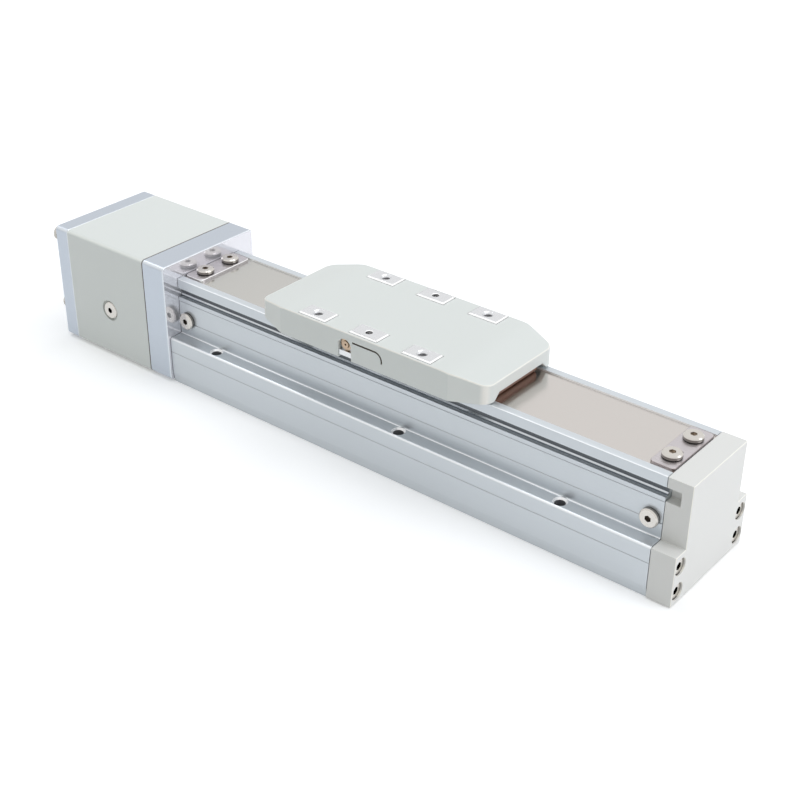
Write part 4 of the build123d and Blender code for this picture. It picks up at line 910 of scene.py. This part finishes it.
def make_groove_ridges():
    """A ridge with a bevelled top along each sensor groove."""
    front = GROOVE_WALL + RIDGE_DEPTH
    top = GROOVE_FLOOR + RIDGE_HEIGHT
    section = (
        (GROOVE_WALL, GROOVE_FLOOR),
        (front, GROOVE_FLOOR),
        (front, top - RIDGE_DEPTH),
        (GROOVE_WALL, top),
    )
    vertices = []
    faces = []
    for side in (-1, 1):
        first = len(vertices)
        for x in (-PROFILE_END, PROFILE_END):
            vertices += [(x, side * y, z) for y, z in section]
        rings = [(0, 1, 2, 3), (7, 6, 5, 4)]
        rings += [(step, step + 4, (step + 1) % 4 + 4, (step + 1) % 4) for step in range(4)]
        for ring in rings:
            ordered = ring if side < 0 else tuple(reversed(ring))
            faces.append(tuple(first + corner for corner in ordered))
    return solid_piece("groove_ridges", vertices, faces, ridge_metal())


groove_ridges = make_groove_ridges()
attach(groove_ridges, "stage_base")

# %% [markdown]
# ## Cover strip
#
# The strip lies between the profile's lips and rises over the carriage block inside the
# carriage. Its middle rides with the carriage. The flat stretch on each side is held by its
# clamp and reaches to the carriage, with no rows of points between.

# %%
STRIP_WIDTH = 0.03278
STRIP_BOTTOM = 0.049
STRIP_THICKNESS = 0.0003
STRIP_END = 0.1256
CLAMP_INNER = 0.1151
LIFT = 0.0037
TOP_HALF = 0.0423
FOOT_HALF = 0.0543
BEND_STEPS = 10


def lifted_line():
    """The strip's underside along the carriage, from one foot to the other, as (x, z) pairs."""
    points = []
    for step in range(BEND_STEPS + 1):
        share = step / BEND_STEPS
        eased = share * share * (3 - 2 * share)
        points.append((-FOOT_HALF + share * (FOOT_HALF - TOP_HALF), LIFT * eased))
    mirrored = [(-x, z) for x, z in reversed(points)]
    return [(CARRIAGE_MIDDLE + x, STRIP_BOTTOM + z) for x, z in points + mirrored]


def strip_piece(name, line):
    """A closed band of the strip's width and thickness along a line of (x, z) points."""
    half = STRIP_WIDTH / 2
    section = ((-half, 0), (half, 0), (half, STRIP_THICKNESS), (-half, STRIP_THICKNESS))
    vertices = [(x, y, z + rise) for x, z in line for y, rise in section]
    last = 4 * (len(line) - 1)
    faces = [(3, 2, 1, 0)]
    for base in range(0, last, 4):
        for side in range(4):
            following = (side + 1) % 4
            faces.append((base + side, base + following, base + 4 + following, base + 4 + side))
    faces.append((last, last + 1, last + 2, last + 3))
    piece = solid_piece(name, vertices, faces, materials["strip_steel"])
    return piece


def flat_piece(name, start, end):
    """A flat stretch of the strip between two places along X."""
    return strip_piece(name, [(start, STRIP_BOTTOM), (end, STRIP_BOTTOM)])


left_foot = CARRIAGE_MIDDLE - FOOT_HALF
right_foot = CARRIAGE_MIDDLE + FOOT_HALF
strip_lifted = strip_piece("strip_lifted", lifted_line())
strip_left = flat_piece("strip_drive_side", -CLAMP_INNER, left_foot)
strip_right = flat_piece("strip_far_side", right_foot, CLAMP_INNER)
strip_left_end = flat_piece("strip_drive_end", -STRIP_END, -CLAMP_INNER)
strip_right_end = flat_piece("strip_far_end", CLAMP_INNER, STRIP_END)

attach(strip_lifted, "carriage")
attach(strip_left_end, "stage_base")
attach(strip_right_end, "stage_base")
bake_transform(strip_left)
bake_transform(strip_right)
for piece in (strip_lifted, strip_left, strip_right, strip_left_end, strip_right_end):
    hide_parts("cover_strip")

# %% [markdown]
# ## Floor, light and camera
#
# The floor and the background are pale, and the light is soft and plain. The camera stands
# where the photograph's camera stood, worked out from the object's edges.

# %%
CAMERA_PLACE = (0.3198, -0.4128, 0.3335)
CAMERA_AZIMUTH = 38.87
CAMERA_ELEVATION = 30.58
CAMERA_ROLL = 0.44
CAMERA_LENS = 64.9
LAMP_COLOUR = (0.95, 0.965, 1.0)
SIDE_LAMP_COLOUR = (0.92, 0.935, 1.0)
LAMP_AIM = (0, 0, 0.03)
FLOOR_SIZE = 12
FLOOR_GLOW = 0.25
FAR_GLOW = 0.5
FAR_GLOW_START = 0.6
FAR_GLOW_FULL = 3.0
SKY_TONE = "#E4E8E9"
SKY_STRENGTH = 0.61


def seen_directly(tree):
    """1 for rays from the camera and for those that a mirror or glass passes on."""
    path = add(tree, "ShaderNodeLightPath").outputs
    rays = ("Is Camera Ray", "Is Glossy Ray", "Is Transmission Ray")
    return largest(tree, *[path[ray] for ray in rays])


def make_floor():
    """A wide pale floor that keeps the object's shadow and glows a little more further away."""
    bpy.ops.mesh.primitive_plane_add(size=FLOOR_SIZE, location=(0, 0, 0))
    floor = bpy.context.object
    floor.name = "floor"
    material, tree, shader = new_material(
        "pale_floor", Base_Color=colour("#F2F2F2"), Roughness=0.9
    )
    reach = add(tree, "ShaderNodeVectorMath", {0: object_place(tree)}, operation="LENGTH")
    away = add(
        tree,
        "ShaderNodeMapRange",
        {
            "Value": reach.outputs["Value"],
            "From Min": FAR_GLOW_START,
            "From Max": FAR_GLOW_FULL,
            "To Max": FAR_GLOW,
        },
    )
    camera_ray = add(tree, "ShaderNodeLightPath").outputs["Is Camera Ray"]
    far_glow = calculate(tree, "MULTIPLY", away.outputs["Result"], camera_ray)
    near_glow = calculate(tree, "MULTIPLY", seen_directly(tree), FLOOR_GLOW)
    strength = calculate(tree, "ADD", near_glow, far_glow)
    glow = add(tree, "ShaderNodeEmission", {"Strength": strength}).outputs["Emission"]
    total = add(tree, "ShaderNodeAddShader", {0: shader.outputs["BSDF"], 1: glow})
    output = tree.nodes["Material Output"]
    tree.links.new(total.outputs["Shader"], output.inputs["Surface"])
    floor.data.materials.append(material)
    return floor


def make_light(name, place, size, power, lamp_colour=LAMP_COLOUR):
    """A square soft light that looks at the object."""
    lamp = bpy.data.lights.new(name, "AREA")
    lamp.shape = "SQUARE"
    lamp.size = size
    lamp.energy = power
    lamp.color = lamp_colour
    holder = bpy.data.objects.new(name, lamp)
    holder.location = place
    direction = Vector(LAMP_AIM) - Vector(place)
    holder.rotation_euler = direction.to_track_quat("-Z", "Y").to_euler()
    bpy.context.collection.objects.link(holder)
    return holder


def make_camera():
    """The camera with the photograph's place, direction, roll and lens."""
    turn = radians(CAMERA_AZIMUTH)
    rise = radians(CAMERA_ELEVATION)
    roll = radians(CAMERA_ROLL)
    back = Vector((sin(turn) * cos(rise), -cos(turn) * cos(rise), sin(rise)))
    level = Vector((cos(turn), sin(turn), 0))
    up = back.cross(level)
    right = level * cos(roll) + up * sin(roll)
    top = up * cos(roll) - level * sin(roll)
    lens = bpy.data.cameras.new("photo camera")
    lens.lens = CAMERA_LENS
    lens.sensor_width = 36
    lens.clip_start = 0.01
    camera = bpy.data.objects.new("photo camera", lens)
    bpy.context.collection.objects.link(camera)
    axes = Matrix((right, top, back)).transposed().to_4x4()
    camera.matrix_world = Matrix.Translation(CAMERA_PLACE) @ axes
    bpy.context.scene.camera = camera


def make_world():
    """A pale sky that lights the object, and plain white wherever it is seen directly."""
    world = bpy.data.worlds.new("studio")
    bpy.context.scene.world = world
    world.use_nodes = True
    tree = world.node_tree
    tree.nodes.clear()
    sky = {"Color": colour(SKY_TONE), "Strength": SKY_STRENGTH}
    lighting = add(tree, "ShaderNodeBackground", sky).outputs["Background"]
    plain = {"Color": colour(WHITE), "Strength": 1.0}
    white = add(tree, "ShaderNodeBackground", plain).outputs["Background"]
    chosen = add(tree, "ShaderNodeMixShader", {0: seen_directly(tree), 1: lighting, 2: white})
    add(tree, "ShaderNodeOutputWorld", {"Surface": chosen.outputs["Shader"]})


floor = make_floor()
overhead = make_light("overhead", (0.1, 0.3, 1.4), 1.2, 8.0)
edge_lamp = make_light("edges", (-0.76, 0.0, 1.15), 0.45, 2.6)
side = make_light("side", (1.3, 0.34, 0.55), 0.9, 6.5, lamp_colour=SIDE_LAMP_COLOUR)
make_camera()
make_world()
bpy.context.scene.view_settings.view_transform = "Standard"
